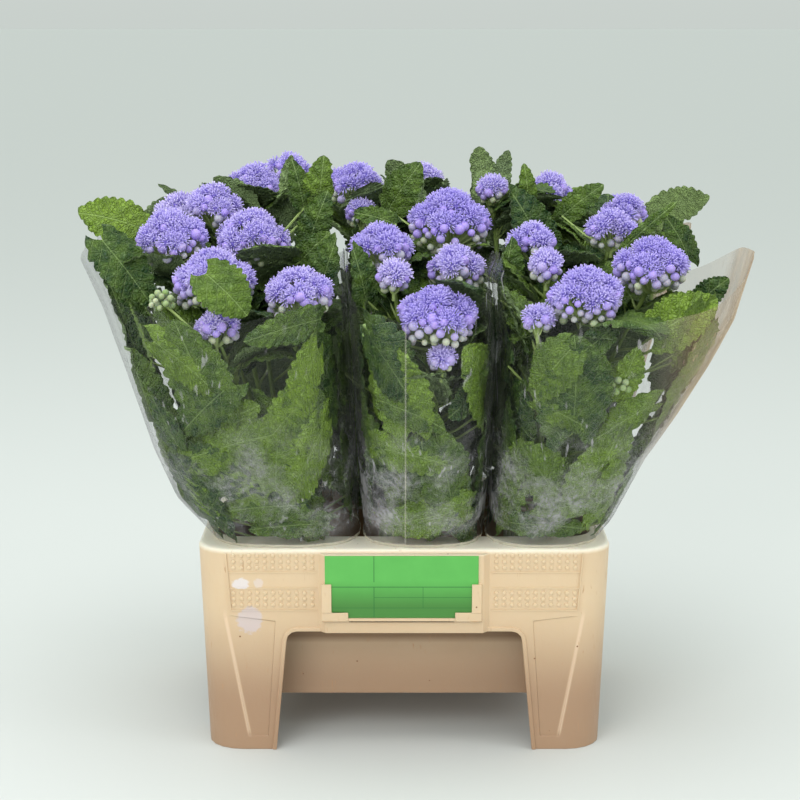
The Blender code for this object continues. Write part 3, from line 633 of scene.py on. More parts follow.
def sleeve_film():
    """Clear polypropylene sleeve film, 0.04 mm: little seen face on, whiter along creases and where it turns
    away, tan where it stands double at the right, with a mist of droplets in it low down and a welded hem."""
    finish, add, place = start_finish("clear polypropylene film", IOR=1.49)
    x, _, z = add("SeparateXYZ", place).outputs
    # Mist: patches some 50 mm across, of droplets 3 mm across, thicker low down where the film is cold.
    low = add("MapRange", z, 0.372, 0.262, interpolation_type="SMOOTHSTEP")
    patch = add("TexNoise", place, Scale=17.0, Detail=8.0, Roughness=0.66)
    drops = add("TexNoise", place, Scale=230.0, Detail=5.0)
    drops = add("MapRange", drops, 0.38, 0.62, 0.45, 1.0)
    mist = mask(add, low, (patch, 0.45, 0.68), (z, 0.210, 0.226), drops)
    # Creases: pale straight lines about 1 mm wide that lean up the film, in places.
    lean = add("Mapping", place, Scale=(1.0, 1.0, 0.05), Rotation=(0.0, 0.30, 0.0))
    crease = add("TexNoise", lean, Scale=210.0, Detail=1.0)
    there = add("TexNoise", place, Scale=14.0, Detail=2.0)
    crease = mask(add, (crease, 0.66, 0.74), (there, 0.46, 0.62))
    # The welded seam up the middle of the front and back, and the hem at the foot.
    off_seam = add("Math", add("Math", x, SEAM_AT, operation="SUBTRACT"), operation="ABSOLUTE")
    seam = mask(add, (off_seam, 0.0009, 0.0005), 0.5)
    weld = add("Math", seam, mask(add, (z, *HEM_EDGE)), operation="MAXIMUM")
    lines = add("Math", crease, weld, operation="MAXIMUM")
    # The film seen edge on lets less through, and more so where it stands double at the right.
    double = mask(add, (x, *DOUBLE_FILM))
    most = add("MapRange", double, 0.0, 1.0, 0.66, 0.95)
    veil = add("MapRange", add("LayerWeight", 0.30).outputs["Facing"], 0.35, 0.95, 0.035, most)
    cover = mask(add, mist, 0.60)
    for more in (veil, mask(add, double, 0.22), mask(add, lines, 0.42)):
        cover = add("Math", cover, more, operation="ADD")
    cover.use_clamp = True
    # Clear film mirrors the light, and mist and creases scatter it.
    scatter = add("Math", add("Math", mist, lines, operation="MAXIMUM"), double, operation="MAXIMUM")
    mirror = add("MapRange", scatter, 0.0, 0.35, 0.80, 0.0)
    dull = add("MapRange", scatter, 0.0, 0.4, 0.12, 0.50)
    streak = add("Mapping", place, Scale=(1.0, 1.0, 0.10), Rotation=(0.0, 0.45, 0.0))
    streak = add("TexNoise", streak, Scale=120.0, Detail=3.0)
    tan = coated(add, "#94734f", (streak, "#dcc4a6"))
    colour = coated(add, "#bdbabf", (double, tan), (weld, "#efe6cf"))
    # Crinkles 6 mm apart that run up the sleeve, over dents some 30 mm across.
    stretch = add("Mapping", place, Scale=(1.0, 1.0, 0.35))
    crinkle = add("TexNoise", stretch, Scale=75.0, Detail=4.0, Roughness=0.55, Distortion=0.6)
    dents = add("Bump", Height=add("TexNoise", stretch, Scale=30.0, Detail=2.0), Strength=0.6, Distance=0.016)
    return finished(finish, Base_Color=colour, Metallic=mirror, Roughness=dull, Alpha=cover,
                    bump=(crinkle, 0.5, 0.005, dents))


def leaf_skin():
    """Living ageratum leaf: satin and softly hairy, puckered between sunken veins that show paler. Each leaf
    has its own green, and its underside is paler and duller."""
    finish, add, place = start_finish("living ageratum leaf", IOR=1.42)
    blade = add("Attribute", attribute_name="blade").outputs["Vector"]
    tone = add("Attribute", attribute_name="tone").outputs["Fac"]
    along, across, face = add("SeparateXYZ", blade).outputs
    side = add("Math", across, operation="ABSOLUTE")
    # Side veins, 12 mm apart, that wander a little as they sweep towards the tip, and the midrib.
    wander = add("TexNoise", blade, Scale=70.0, Detail=2.0)
    sweep = add("Math", along, mask(add, side, VEIN_SWEEP), operation="SUBTRACT")
    sweep = add("Math", sweep, mask(add, wander, 2 * VEIN_SHIFT), operation="ADD")
    sweep = add("Math", add("Math", sweep, VEIN_APART, operation="DIVIDE"), operation="FRACT")
    off_vein = add("Math", add("Math", sweep, 0.5, operation="SUBTRACT"), operation="ABSOLUTE")
    vein = add("MapRange", off_vein, 0.075, 0.015, interpolation_type="SMOOTHSTEP")
    rib = add("MapRange", side, 0.0011, 0.0004, interpolation_type="SMOOTHSTEP")
    # The net of small veins, cells 3.5 mm across.
    cells = add("TexVoronoi", blade, Scale=285.0, feature="DISTANCE_TO_EDGE")
    lines = add("Math", vein, rib, operation="MAXIMUM")
    lines = add("Math", lines, mask(add, (cells, 0.14, 0.02), 0.45), operation="MAXIMUM")
    # The leaf's own green, clouded at about 12 mm.
    cloud = add("TexNoise", place, Scale=80.0, Detail=4.0)
    shift = add("MapRange", cloud, 0.3, 0.7, -0.22, 0.22)
    amount = add("Math", tone, shift, operation="ADD", use_clamp=True)
    under = mask(add, (face, 0.2, -0.2, 0.55))
    veins = mask(add, lines, 0.28)
    colour = coated(add, "#173a15", (amount, "#7c9a30"), (veins, "#a3bb78"), (under, "#93a878"))
    gloss = add("MapRange", cloud, 0.3, 0.7, 0.36, 0.50)
    gloss = add("Math", gloss, mask(add, under, 0.4), operation="ADD")
    # Veins sunk in, and the skin between them raised.
    height = add("Math", mask(add, cells, 1.5), lines, operation="SUBTRACT")
    height = add("Math", height, off_vein, operation="ADD")
    return finished(finish, Base_Color=colour, Roughness=gloss, bump=(height, 1.0, 0.0016))


def stem_skin():
    """A hairy green ageratum stem, paler in the young stalks of leaves and flowers, with fine ridges."""
    finish, add, place = start_finish("hairy green stem", Roughness=0.55, IOR=1.42)
    tone = add("Attribute", attribute_name="tone").outputs["Fac"]
    cloud = add("TexNoise", place, Scale=90.0, Detail=4.0)
    hairs = add("TexNoise", add("Mapping", place, Scale=(1.0, 1.0, 0.15)), Scale=1100.0, Detail=2.0)
    colour = coated(add, "#5d7d33", (cloud, "#92a655"), (tone, "#b9cb84"))
    return finished(finish, Base_Color=colour, bump=(hairs, 0.5, 0.0004))


def floret_threads():
    """The thread-like florets of an open flower: soft and matt with a slight sheen, deeper violet at the root
    and pale at the tip. Each tuft has its own violet."""
    finish, add, place = start_finish("ageratum floret threads", Roughness=0.75, Sheen_Weight=0.25,
                                      Sheen_Roughness=0.5)
    growth = add("Attribute", attribute_name="growth").outputs["Vector"]
    rise, tone, _ = add("SeparateXYZ", growth).outputs
    root = coated(add, "#6656c0", (tone, "#8473d8"))
    tip = coated(add, "#b3a5f0", (tone, "#e2d8fb"))
    height = add("MapRange", rise, 0.1, 1.0, interpolation_type="SMOOTHSTEP")
    cloud = add("TexNoise", place, Scale=120.0, Detail=3.0)
    fade = mask(add, (cloud, 0.3, 0.7, 0.22))
    return finished(finish, Base_Color=coated(add, root, (height, tip), (fade, "#b49ce0")))


def bud_skin():
    """A closed ageratum flower: a ball of packed floret tips in a green cup, green, then cream and then lilac
    as it opens, matt with a fine grain."""
    finish, add, place = start_finish("closed ageratum bud", Roughness=0.6, Subsurface_Weight=0.1,
                                      Subsurface_Scale=0.001)
    growth = add("Attribute", attribute_name="growth").outputs["Vector"]
    rise, tone, _ = add("SeparateXYZ", growth).outputs
    early, late = mask(add, (tone, 0.0, 0.5)), mask(add, (tone, 0.5, 1.0))
    cup = mask(add, (rise, 0.42, 0.22))
    grain = add("TexVoronoi", place, Scale=900.0)
    dark = mask(add, (grain, 0.2, 0.7, 0.28))
    colour = coated(add, "#8cab4a", (early, "#c6cf9f"), (late, "#b29ceb"), (cup, "#9fae7c"),
                    (dark, "#7d6fae"))
    return finished(finish, Base_Color=colour, bump=(grain, 0.5, -0.0005))


# Where things lie, by the same rules as the solids

def skirt_half(z):
    lean = TAPER * (1 - z / HEIGHT)
    return RIM_HALF[0] - lean, RIM_HALF[1] - lean


def limits_at(column, z):
    """The x and y limits of a bunch at a height, in its own row's frame, where the front is at -y."""
    low = np.interp(z, *zip(*SIDE_LINES[column])) + SLEEVE_GAP
    high = np.interp(z, *zip(*SIDE_LINES[column + 1])) - SLEEVE_GAP
    front = -np.interp(z, *zip(*FRONT_LINE))
    return low, high, front, -SLEEVE_GAP


def section(bunch, z):
    """Middle x and y of the sleeve at a height, in world axes, and its half sizes."""
    _, column, side = bunch
    low, high, front, back = limits_at(column, z)
    return side * (low + high) / 2, side * (front + back) / 2, (high - low) / 2, (back - front) / 2


def reach(half_x, half_y, angle):
    """Distance from the middle to the film in a direction: a squarish oval."""
    share = abs(np.cos(angle) / half_x) ** SECTION_POWER + abs(np.sin(angle) / half_y) ** SECTION_POWER
    return share ** (-1 / SECTION_POWER)


def film_point(bunch, z, angle, inset):
    middle_x, middle_y, half_x, half_y = section(bunch, z)
    radius = reach(half_x, half_y, angle) - inset
    x = middle_x + radius * np.cos(angle)
    y = middle_y + radius * np.sin(angle)
    return np.stack(np.broadcast_arrays(x, y, z), axis=-1)


def kept_inside(bunch, points, inset):
    """The points, each drawn in towards the bunch's middle if it lies outside the film."""
    middle_x, middle_y, half_x, half_y = section(bunch, points[..., 2])
    dx = points[..., 0] - middle_x
    dy = points[..., 1] - middle_y
    most = reach(half_x, half_y, np.arctan2(dy, dx)) - inset
    share = np.minimum(1.0, most / np.maximum(np.hypot(dx, dy), 1e-9))
    return np.stack((middle_x + dx * share, middle_y + dy * share, points[..., 2]), axis=-1)


def foot_of(bunch):
    middle_x, _, _, _ = section(bunch, FILM_BASE)
    return np.array((middle_x, -bunch[2] * FOOT_Y))


def head_base(head):
    return head[2] - HEAD_UNDER * head[3] / 2


def stem_point(bunch, head, z):
    """The middle of a head's stem at a height above the tie: upright at first, then leaning out."""
    start = foot_of(bunch)
    tip = np.array(head[:2])
    share = (z - LEAN_HEIGHT) / (head_base(head) - LEAN_HEIGHT)
    lean = max(share, 0.0) ** 1.35
    return np.array((*(start + (tip - start) * lean), z))


def nearest_stem(bunch, point, rise):
    """The point on the nearest of the bunch's stems, a rise below the given point."""
    spots = []
    for head in HEADS[bunch[0]]:
        z = min(max(point[2] - rise, TIE_HEIGHT), head_base(head) - 0.006)
        spots.append(stem_point(bunch, head, z))
    return min(spots, key=lambda spot: float(np.linalg.norm(spot - point)))


# Leaves

def blade_width(share):
    """Half width of a leaf's blade along its length, as a share of the widest: broad near the base."""
    inner = np.clip(share, 0.0, 1.0)
    return np.sin(np.pi * inner ** 0.62) ** 0.75


def packed_leaf(rng, bunch, number):
    """A leaf that lies against the film: even numbers in a low row, odd ones in a high row."""
    return {
        "kind": "packed",
        "bunch": bunch,
        "angle": 2 * math.pi * (number / PACKED_LEAVES + rng.uniform(-0.03, 0.03)),
        "height": (0.272, 0.372)[number % 2] + rng.uniform(-0.012, 0.020),
        "turn": math.radians(rng.uniform(45, 135)),
        "length": rng.uniform(0.074, 0.102),
        "width": rng.uniform(0.66, 0.80),
        "inset": LEAF_INSET + 0.0020 * (number // 2 % 3) + rng.uniform(0.0, 0.0008),
    }


def crown_leaf(rng, bunch, number):
    """A leaf that springs from a stem between the heads and arches outwards."""
    head = HEADS[bunch[0]][number % STEMS]
    start = stem_point(bunch, head, head_base(head) - rng.uniform(0.010, 0.050))
    return {
        "kind": "crown",
        "bunch": bunch,
        "start": start,
        "angle": 2 * math.pi * (number / CROWN_LEAVES + rng.uniform(-0.12, 0.12)),
        "rise": math.radians(rng.uniform(25, 75)),
        "droop": math.radians(rng.uniform(30, 75)),
        "length": rng.uniform(0.060, 0.092),
        "width": rng.uniform(0.66, 0.82),
        "stalk": rng.uniform(0.012, 0.024),
        "roll": math.radians(rng.uniform(-25, 25)),
        "inset": LEAF_INSET + 0.0014 * (number % 4),
    }


def packed_point(leaf, share, across):
    along = (share - 0.5) * leaf["length"]
    sideways = along * math.cos(leaf["turn"]) - across * math.sin(leaf["turn"])
    z = leaf["height"] + along * math.sin(leaf["turn"]) + across * math.cos(leaf["turn"])
    _, _, half_x, half_y = section(leaf["bunch"], leaf["height"])
    angle = leaf["angle"] + sideways / reach(half_x, half_y, leaf["angle"])
    return film_point(leaf["bunch"], z, angle, leaf["inset"])


def crown_point(leaf, share, across):
    """The midrib is an arc that starts at the leaf's rise and bends down by its droop."""
    rise, droop = leaf["rise"], leaf["droop"]
    now = rise - droop * share
    out = leaf["length"] * (math.sin(rise) - np.sin(now)) / droop + leaf["stalk"] * math.cos(rise)
    up = leaf["length"] * (np.cos(now) - math.cos(rise)) / droop + leaf["stalk"] * math.sin(rise)
    heading = np.array((math.cos(leaf["angle"]), math.sin(leaf["angle"]), 0.0))
    level = np.array((-heading[1], heading[0], 0.0))
    upright = np.array((0.0, 0.0, 1.0))
    normal = -np.sin(now)[..., None] * heading + np.cos(now)[..., None] * upright
    side = math.cos(leaf["roll"]) * level + math.sin(leaf["roll"]) * normal
    points = leaf["start"] + out[..., None] * heading + up[..., None] * upright + across[..., None] * side
    return kept_inside(leaf["bunch"], points, leaf["inset"])


def set_point(leaf, share, across):
    """A leaf placed as listed, from its base to its tip, bowed and facing a given way."""
    chord = leaf["tip"] - leaf["base"]
    ahead = unit(chord)
    normal = unit(leaf["facing"] - ahead * np.dot(leaf["facing"], ahead))
    side = np.cross(normal, ahead)
    bow = leaf["bow"] * np.sin(np.pi * share)
    points = leaf["base"] + share[..., None] * chord + bow[..., None] * normal + across[..., None] * side
    return kept_inside(leaf["bunch"], points, leaf["inset"])


def seen_at(spot, y):
    """The point at a depth that the camera shows at a pixel of the photograph."""
    down = math.radians(90 - CAMERA_PITCH)
    forward = np.array((0.0, math.cos(down), -math.sin(down)))
    upward = np.array((0.0, math.sin(down), math.cos(down)))
    scale = PHOTO_SIDE * CAMERA_LENS / SENSOR_WIDTH
    across = (spot[0] - PHOTO_SIDE / 2) / scale
    rise = (PHOTO_SIDE / 2 - spot[1]) / scale
    ray = forward + across * np.array((1.0, 0.0, 0.0)) + rise * upward
    place = np.array(CAMERA_PLACE)
    return place + ray * (y - place[1]) / ray[1]


def seen_on_film(spot):
    """The point just inside the front film that the camera shows at a pixel of the photograph."""
    y = -0.2
    for _ in range(4):
        y = -np.interp(seen_at(spot, y)[2], *zip(*FRONT_LINE)) + SET_INSET
    return seen_at(spot, y)


def set_leaf(bunch, base, tip, depth, width, tone, nudge):
    """A leaf placed as the photograph shows it. A back bunch has it half a turn round."""
    turn = np.array((bunch[2], bunch[2], 1.0))
    if depth is None:
        start, end = seen_on_film(base), seen_on_film(tip)
    else:
        start, end = seen_at(base, depth + nudge), seen_at(tip, depth + nudge - 0.006)
    length = float(np.linalg.norm(end - start))
    return {
        "kind": "set",
        "bunch": bunch,
        "base": start * turn,
        "tip": end * turn,
        "facing": np.array((0.12, -1.0, 0.45)) * turn,
        "bow": 0.10 * length,
        "length": length,
        "width": width,
        "inset": LEAF_INSET - 0.002,
        "tone": tone,
    }


def leaf_point(leaf, share, across):
    """The middle surface of a leaf: share runs from its base to its tip, across is metres from the midrib."""
    share, across = np.asarray(share, float), np.asarray(across, float)
    surface = {"packed": packed_point, "crown": crown_point, "set": set_point}[leaf["kind"]]
    return surface(leaf, share, across)


def leaf_edges(leaf):
    """Left and right edge points along the leaf, from base to tip."""
    half = 0.5 * leaf["width"] * leaf["length"]
    shares, teeth = np.array(LEAF_ROWS).T
    widths = np.maximum(half * blade_width(shares) * teeth, STALK_WIDTH / 2)
    widths[-1] = 0.0
    return leaf_point(leaf, shares, widths), leaf_point(leaf, shares, -widths)


def leaf_samples(left, right, foot):
    """Points spread over a leaf and along its stalk."""
    samples = []
    for i in range(len(left) - 1):
        for along in (0.0, 0.34, 0.67, 1.0):
            a = left[i] + (left[i + 1] - left[i]) * along
            b = right[i] + (right[i + 1] - right[i]) * along
            samples.extend(a + (b - a) * share for share in (0.0, 0.25, 0.5, 0.75, 1.0))
    base = (left[0] + right[0]) / 2
    samples.extend(foot + (base - foot) * share for share in np.linspace(0.1, 1.0, 9))
    return np.array(samples)


def clears_heads(samples):
    heads = np.concatenate([np.array(heads) for heads in HEADS.values()])
    wide = heads[:, 3] / 2 + CLEAR
    tall = HEAD_TALL * heads[:, 3] / 2 + CLEAR
    sizes = np.stack((wide, wide, tall), axis=-1)
    offset = (samples[:, None] - heads[None, :, :3]) / sizes
    return not ((offset ** 2).sum(axis=2) < 1.0).any()


def shows_heads(samples, side):
    """True if a leaf hides no middle of its row's heads, seen from the camera or the like place behind."""
    eye = np.array((CAMERA_PLACE[0], side * CAMERA_PLACE[1], CAMERA_PLACE[2]))
    heads = np.concatenate([np.array(HEADS[bunch[0]]) for bunch in BUNCHES if bunch[2] == side])
    rays = samples - eye
    near = np.linalg.norm(rays, axis=1)[:, None]
    lines = heads[:, :3] - eye
    far = np.linalg.norm(lines, axis=1)
    apart = np.linalg.norm((rays / near)[:, None] - lines / far[:, None], axis=2) * far
    return not ((apart < HEAD_SHOWN * heads[:, 3]) & (near < far)).any()


def clears_leaves(samples, others):
    return all(np.linalg.norm(samples[:, None] - other[None], axis=2).min() >= LEAF_APART for other in others)


def leaf_open(leaf, left, right, foot):
    """True if the film has not crumpled the leaf, and its stalk meets it from below and not from the side."""
    wide = 0.5 * leaf["width"] * leaf["length"]
    path = (left[0] + right[0]) / 2 - foot
    long_enough = np.linalg.norm(left[-1] - left[0]) > 0.62 * leaf["length"]
    wide_enough = (np.linalg.norm(left - right, axis=1)[1:4] > wide).all()
    return long_enough and wide_enough and abs(np.dot(unit(left[0] - right[0]), unit(path))) < 0.75


def leaf_foot(leaf, left, right):
    """Where the leaf's stalk leaves its stem."""
    if leaf["kind"] == "crown":
        return leaf["start"]
    return nearest_stem(leaf["bunch"], (left[0] + right[0]) / 2, STALK_RISE)


def tried(leaf):
    """Where a leaf's stalk leaves its stem, points all over it, and whether it opens and clears the heads."""
    left, right = leaf_edges(leaf)
    foot = leaf_foot(leaf, left, right)
    samples = leaf_samples(left, right, foot)
    return foot, samples, leaf_open(leaf, left, right, foot) and clears_heads(samples)


def lay_leaves(bunch, seed):
    """The leaves that the bunch's solid has, each kept where it clears the heads and the others."""
    rng = random.Random(seed)
    kept = []
    laid = []
    for make, wanted in ((packed_leaf, PACKED_LEAVES), (crown_leaf, CROWN_LEAVES)):
        for number in range(wanted):
            for _ in range(TRIES):
                leaf = make(rng, bunch, number)
                foot, samples, fits = tried(leaf)
                if fits and clears_leaves(samples, laid) and samples[:, 2].max() < HEIGHT_LIMIT:
                    kept.append((leaf, foot))
                    laid.append(samples)
                    break
    return kept


def lay_set_leaves(bunch):
    """The bunch's leaves that stand out in the photograph, each nudged in depth until it clears the heads."""
    kept = []
    for placing in SET_LEAVES[bunch[1]]:
        for nudge in NUDGES:
            leaf = set_leaf(bunch, *placing, nudge)
            left, right = leaf_edges(leaf)
            if clears_heads(leaf_samples(left, right, (left[0] + right[0]) / 2)):
                kept.append((leaf, leaf_foot(leaf, left, right)))
                break
    return kept


def extra_leaf(rng, bunch, number):
    """A smaller leaf, as a packed or a crown leaf is drawn, then moved and turned more freely."""
    if number < EXTRA_PACKED:
        leaf = packed_leaf(rng, bunch, number)
        leaf["angle"] = rng.uniform(0, 2 * math.pi)
        leaf["height"] = rng.uniform(*EXTRA_HEIGHTS)
        upright = min(1.0, (leaf["height"] - EXTRA_HEIGHTS[0]) / 0.060)
        leaf["turn"] = math.radians(rng.choice((0, 180)) + 90 * upright + rng.uniform(-70, 70) * upright)
        leaf["length"] = rng.uniform(0.048, 0.084)
        leaf["inset"] = rng.choice(EXTRA_INSETS) + rng.uniform(0.0, 0.004)
    else:
        leaf = crown_leaf(rng, bunch, number)
        leaf["angle"] = rng.uniform(0, 2 * math.pi)
        leaf["rise"] = math.radians(rng.uniform(35, 82))
        leaf["length"] = rng.uniform(0.040, 0.078)
        leaf["inset"] = EXTRA_CROWN_INSET
    return leaf


def lay_more_leaves(bunch, seed):
    """Smaller leaves that fill the bunch behind and between the first ones."""
    rng = random.Random(seed)
    kept = []
    for number in range(EXTRA_PACKED + EXTRA_CROWN):
        for _ in range(TRIES):
            leaf = extra_leaf(rng, bunch, number)
            foot, samples, fits = tried(leaf)
            if fits and samples[:, 2].max() < TOP_LIMIT and shows_heads(samples, bunch[2]):
                kept.append((leaf, foot))
                break
    return kept


def flat_blade():
    """The flat leaf, modelled once: a broad oval with a notched base and rounded teeth. X is the share of its
    length, Y the share of its half width, and Z is 1 on the upper face and -1 on the underside."""
    bpy.ops.object.select_all(action="DESELECT")
    bpy.ops.mesh.primitive_grid_add(x_subdivisions=TEETH * TOOTH_STEPS, y_subdivisions=2 * EDGE_COLUMN,
                                    size=2.0)
    blade = bpy.context.object
    apply_modifier(blade, "SOLIDIFY", thickness=2.0, offset=0.0)
    for vertex in blade.data.vertices:
        share = (vertex.co.x + 1) / 2
        column = round(abs(vertex.co.y) * EDGE_COLUMN)
        side = math.copysign(BLADE_SPREAD[column], vertex.co.y)
        step = abs(math.sin(math.pi * share * TEETH))
        tooth = 1 - TOOTH_DEPTH * (1 - step ** 0.6) * (column == EDGE_COLUMN)
        width = math.sin(math.pi * (0.03 + 0.97 * share) ** 0.72) ** 0.62 if share < 0.999 else 0.0
        notch = 0.17 * abs(side) ** 1.5 * (1 - share) ** 5
        vertex.co.x = share - notch
        vertex.co.y = side * width * tooth
    return pattern_of(blade)


def laid_blade(leaf, blade, rng):
    """The blade's corners laid along the leaf's middle surface, with waves in its edges, its skin quilted
    between the veins and its two faces apart. Also where each corner is on the blade, for its pattern."""
    share, across, face = blade[0].T
    out = np.abs(across)
    size = leaf["length"]
    sideways = across * (0.5 * leaf["width"] * size)
    here = leaf_point(leaf, share, sideways)
    ahead = leaf_point(leaf, share + 0.02, sideways) - here
    beside = leaf_point(leaf, share, sideways + 0.0008) - here
    normal = np.cross(ahead, beside)
    normal /= np.maximum(np.linalg.norm(normal, axis=1), 1e-12)[:, None]
    turns = 2 * math.pi * rng.uniform(1.4, 2.6) * share
    ripple = np.sin(turns + rng.uniform(0, ANY_TURN) + 1.4 * np.sign(across))
    wave = rng.uniform(0.012, 0.035) * size * ripple * out ** 1.6
    cup = rng.uniform(-0.02, 0.05) * size * out ** 1.3
    curl = -rng.uniform(0.0, 0.05) * size * np.clip(share - 0.6, 0, 1) ** 2 * 6
    between = (share * size - VEIN_SWEEP * np.abs(sideways) + VEIN_SHIFT) / VEIN_APART
    quilt = QUILT * np.cos(2 * math.pi * between) * np.minimum(1.0, 4 * out * (1.05 - out))
    raised = kept_inside(leaf["bunch"], here + normal * (wave + cup + curl + quilt)[:, None], BLADE_INSET)
    corners = raised + normal * (face * LEAF_THICK / 2)[:, None]
    return corners, np.stack((share * size, sideways, face), axis=-1)


# Stems, stalks and green buds of a bunch

def add_stems(pile, bunch):
    """Each head's stem: straight in the tied foot, then leaning out to the underside of its head."""
    foot = foot_of(bunch)
    for k, head in enumerate(HEADS[bunch[0]]):
        angle = 2 * math.pi * k / STEMS
        ring = np.array((math.cos(angle), math.sin(angle)))
        heights = (TUB_BASE + TUB_FLOOR + GAP, 0.100, 0.140, LEAN_HEIGHT)
        path = [(*(foot + ring * STEM_RING), z) for z in heights]
        radii = [STEM_RADIUS] * len(path)
        for share in np.linspace(0.16, 1.0, 10):
            z = LEAN_HEIGHT + share * (head_base(head) - LEAN_HEIGHT)
            stray = ring * STEM_RING * (1 - share) ** 2
            path.append((*(stem_point(bunch, head, z)[:2] + stray), z))
            radii.append(0.0029 - 0.0010 * share)
        pile.add(*tube(path, radii, 8), 1, tone=0.1)


def add_stalk(pile, foot, base, radius):
    middle = (foot + base) / 2 - np.array((0.0, 0.0, 0.12 * np.linalg.norm(base - foot)))
    path = [foot, 0.25 * foot + 0.5 * middle + 0.25 * base, base]
    pile.add(*tube(path, (radius * 1.2, radius, radius * 0.9), 5), 1, tone=0.35)


def bud_pattern():
    """One closed bud, modelled once: a ball a little taller than wide, and how high up it each corner is."""
    bpy.ops.object.select_all(action="DESELECT")
    bpy.ops.mesh.primitive_ico_sphere_add(subdivisions=2, radius=1.0)
    bud = bpy.context.object
    bud.scale = (1.0, 1.0, BUD_TALL)
    corners, triangles = pattern_of(bud)
    return corners, triangles, (corners[:, 2] / BUD_TALL + 1) / 2


def add_bloom(pile, pattern, place, direction, size, tone, finish, spin=0.0):
    """A copy of the bud or the open tuft, turned to a direction."""
    corners, triangles, rises = pattern
    turned = (corners * size) @ turned_to(direction, spin).T + place
    growth = np.stack((rises, np.full(len(rises), tone), np.zeros(len(rises))), axis=-1)
    pile.add(turned, triangles, finish, growth=growth)


def add_green_cluster(pile, bunch, pattern, spot, rng):
    """A young corymb: a tight knot of small green and cream buds on a short stalk."""
    middle = kept_inside(bunch, np.array(spot), LEAF_INSET + 0.012)
    add_stalk(pile, nearest_stem(bunch, middle, CLUSTER_RISE), middle, CLUSTER_STALK)
    for k in range(CLUSTER_BUDS):
        direction = direction_at(1 - 1.7 * (k + 0.5) / CLUSTER_BUDS, 2.4 * k)
        place = middle + direction * (CLUSTER_RADIUS + rng.uniform(-0.001, 0.001)) * np.array((1, 1, 0.8))
        size = rng.uniform(0.0026, 0.0037)
        add_bloom(pile, pattern, place, direction, size, rng.choice((0.0, 0.1, 0.2, 0.45)), 2)


def make_foliage(bunch, number, blade, bud, finishes):
    """The stems, leaves and green buds of a bunch, in one piece."""
    rng = random.Random(FOLIAGE_SEED + number)
    pile = Pile(blade=3, tone=1, growth=3)
    add_stems(pile, bunch)
    laid = lay_set_leaves(bunch) + lay_leaves(bunch, LEAF_SEED + number)
    laid += lay_more_leaves(bunch, EXTRA_SEED + number)
    for leaf, foot in laid:
        corners, values = laid_blade(leaf, blade, rng)
        outer = leaf["kind"] == "packed"
        tone = leaf.get("tone", rng.uniform(0.0, 0.75) if outer else rng.uniform(0.0, 0.55))
        pile.add(corners, blade[1], 0, blade=values, tone=tone)
        base = leaf_point(leaf, np.array([0.0]), np.array([0.0]))[0]
        add_stalk(pile, foot, base, STALK_RADIUS)
    for x, y, z in BUD_SPOTS[bunch[1]]:
        add_green_cluster(pile, bunch, bud, (bunch[2] * x, bunch[2] * y, z), rng)
    foliage = pile.build("leaves_and_stems_" + bunch[0], finishes)
    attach(foliage, "root")
    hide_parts("foliage_" + bunch[0])


# Flower heads

def tuft_pattern():
    """One open flower, modelled once: a small dome with threads that widen to their tips, all round its top,
    and how far along its thread each corner is."""
    bpy.ops.object.select_all(action="DESELECT")
    bpy.ops.mesh.primitive_cone_add(vertices=3, radius1=0.0, radius2=THREAD_WIDTH, depth=THREAD_LENGTH,
                                    location=(0, 0, THREAD_LENGTH / 2))
    thread, thread_triangles = pattern_of(bpy.context.object)
    bpy.ops.mesh.primitive_ico_sphere_add(subdivisions=1, radius=TUFT_RADIUS * 1.15)
    core, core_triangles = pattern_of(bpy.context.object)
    rng = random.Random(TUFT_SEED)
    corners = [core]
    triangles = [core_triangles]
    rises = [np.zeros(len(core))]
    for k in range(THREADS):
        direction = unit(direction_at(1 - 1.12 * (k + 0.5) / THREADS, GOLDEN_ANGLE * k))
        direction = unit(direction + np.array([rng.uniform(-0.12, 0.12) for _ in range(3)]))
        length = rng.uniform(0.72, 1.15)
        turned = (thread * (1, 1, length)) @ turned_to(direction, rng.uniform(0, ANY_TURN)).T
        corners.append(turned + direction * TUFT_RADIUS * 0.8)
        triangles.append(thread_triangles + len(core) + k * len(thread))
        rises.append(thread[:, 2] / THREAD_LENGTH)
    return np.concatenate(corners), np.concatenate(triangles), np.concatenate(rises)


def head_lobes(head, rng):
    """The smaller cushions that make up a head: middle and radius of each."""
    x, y, z, width = head
    half = width / 2
    if width < 0.040:
        return [(np.array((x, y, z)), half * 0.92)]
    around = 3 if width < 0.060 else 5
    lobes = [(np.array((x, y, z + 0.12 * half)), 0.60 * half)]
    start = rng.uniform(0, ANY_TURN)
    for k in range(around):
        angle = start + 2 * math.pi * (k + rng.uniform(-0.15, 0.15)) / around
        radius = half * rng.uniform(0.44, 0.56)
        out = 0.96 * half - radius
        drop = rng.uniform(-0.02, 0.20) * half
        lobes.append((np.array((x + out * math.cos(angle), y + out * math.sin(angle), z - drop)), radius))
    return lobes


def lobe_spots(lobes, margin, top, bottom, pitch, rng):
    """Places on the outside of the lobes, from a share top down to a share bottom of their height: place,
    direction and share."""
    spots = []
    squash = np.array((1.0, 1.0, LOBE_TALL))
    for number, (middle, radius) in enumerate(lobes):
        count = max(3, round(7.2 * (radius / pitch) ** 2 * (top - bottom) / 1.2))
        turn = rng.uniform(0, ANY_TURN)
        for k in range(count):
            lift = top - (top - bottom) * (k + 0.5) / count
            direction = direction_at(lift, GOLDEN_ANGLE * k + turn)
            place = middle + direction * (squash * (radius - margin)) * rng.uniform(0.94, 1.04)
            buried = any(np.linalg.norm((place - other) / squash) < size * 0.86
                         for i, (other, size) in enumerate(lobes) if i != number)
            if not buried:
                spots.append((place, unit(direction + (0.0, 0.0, 0.15)), lift))
    return spots


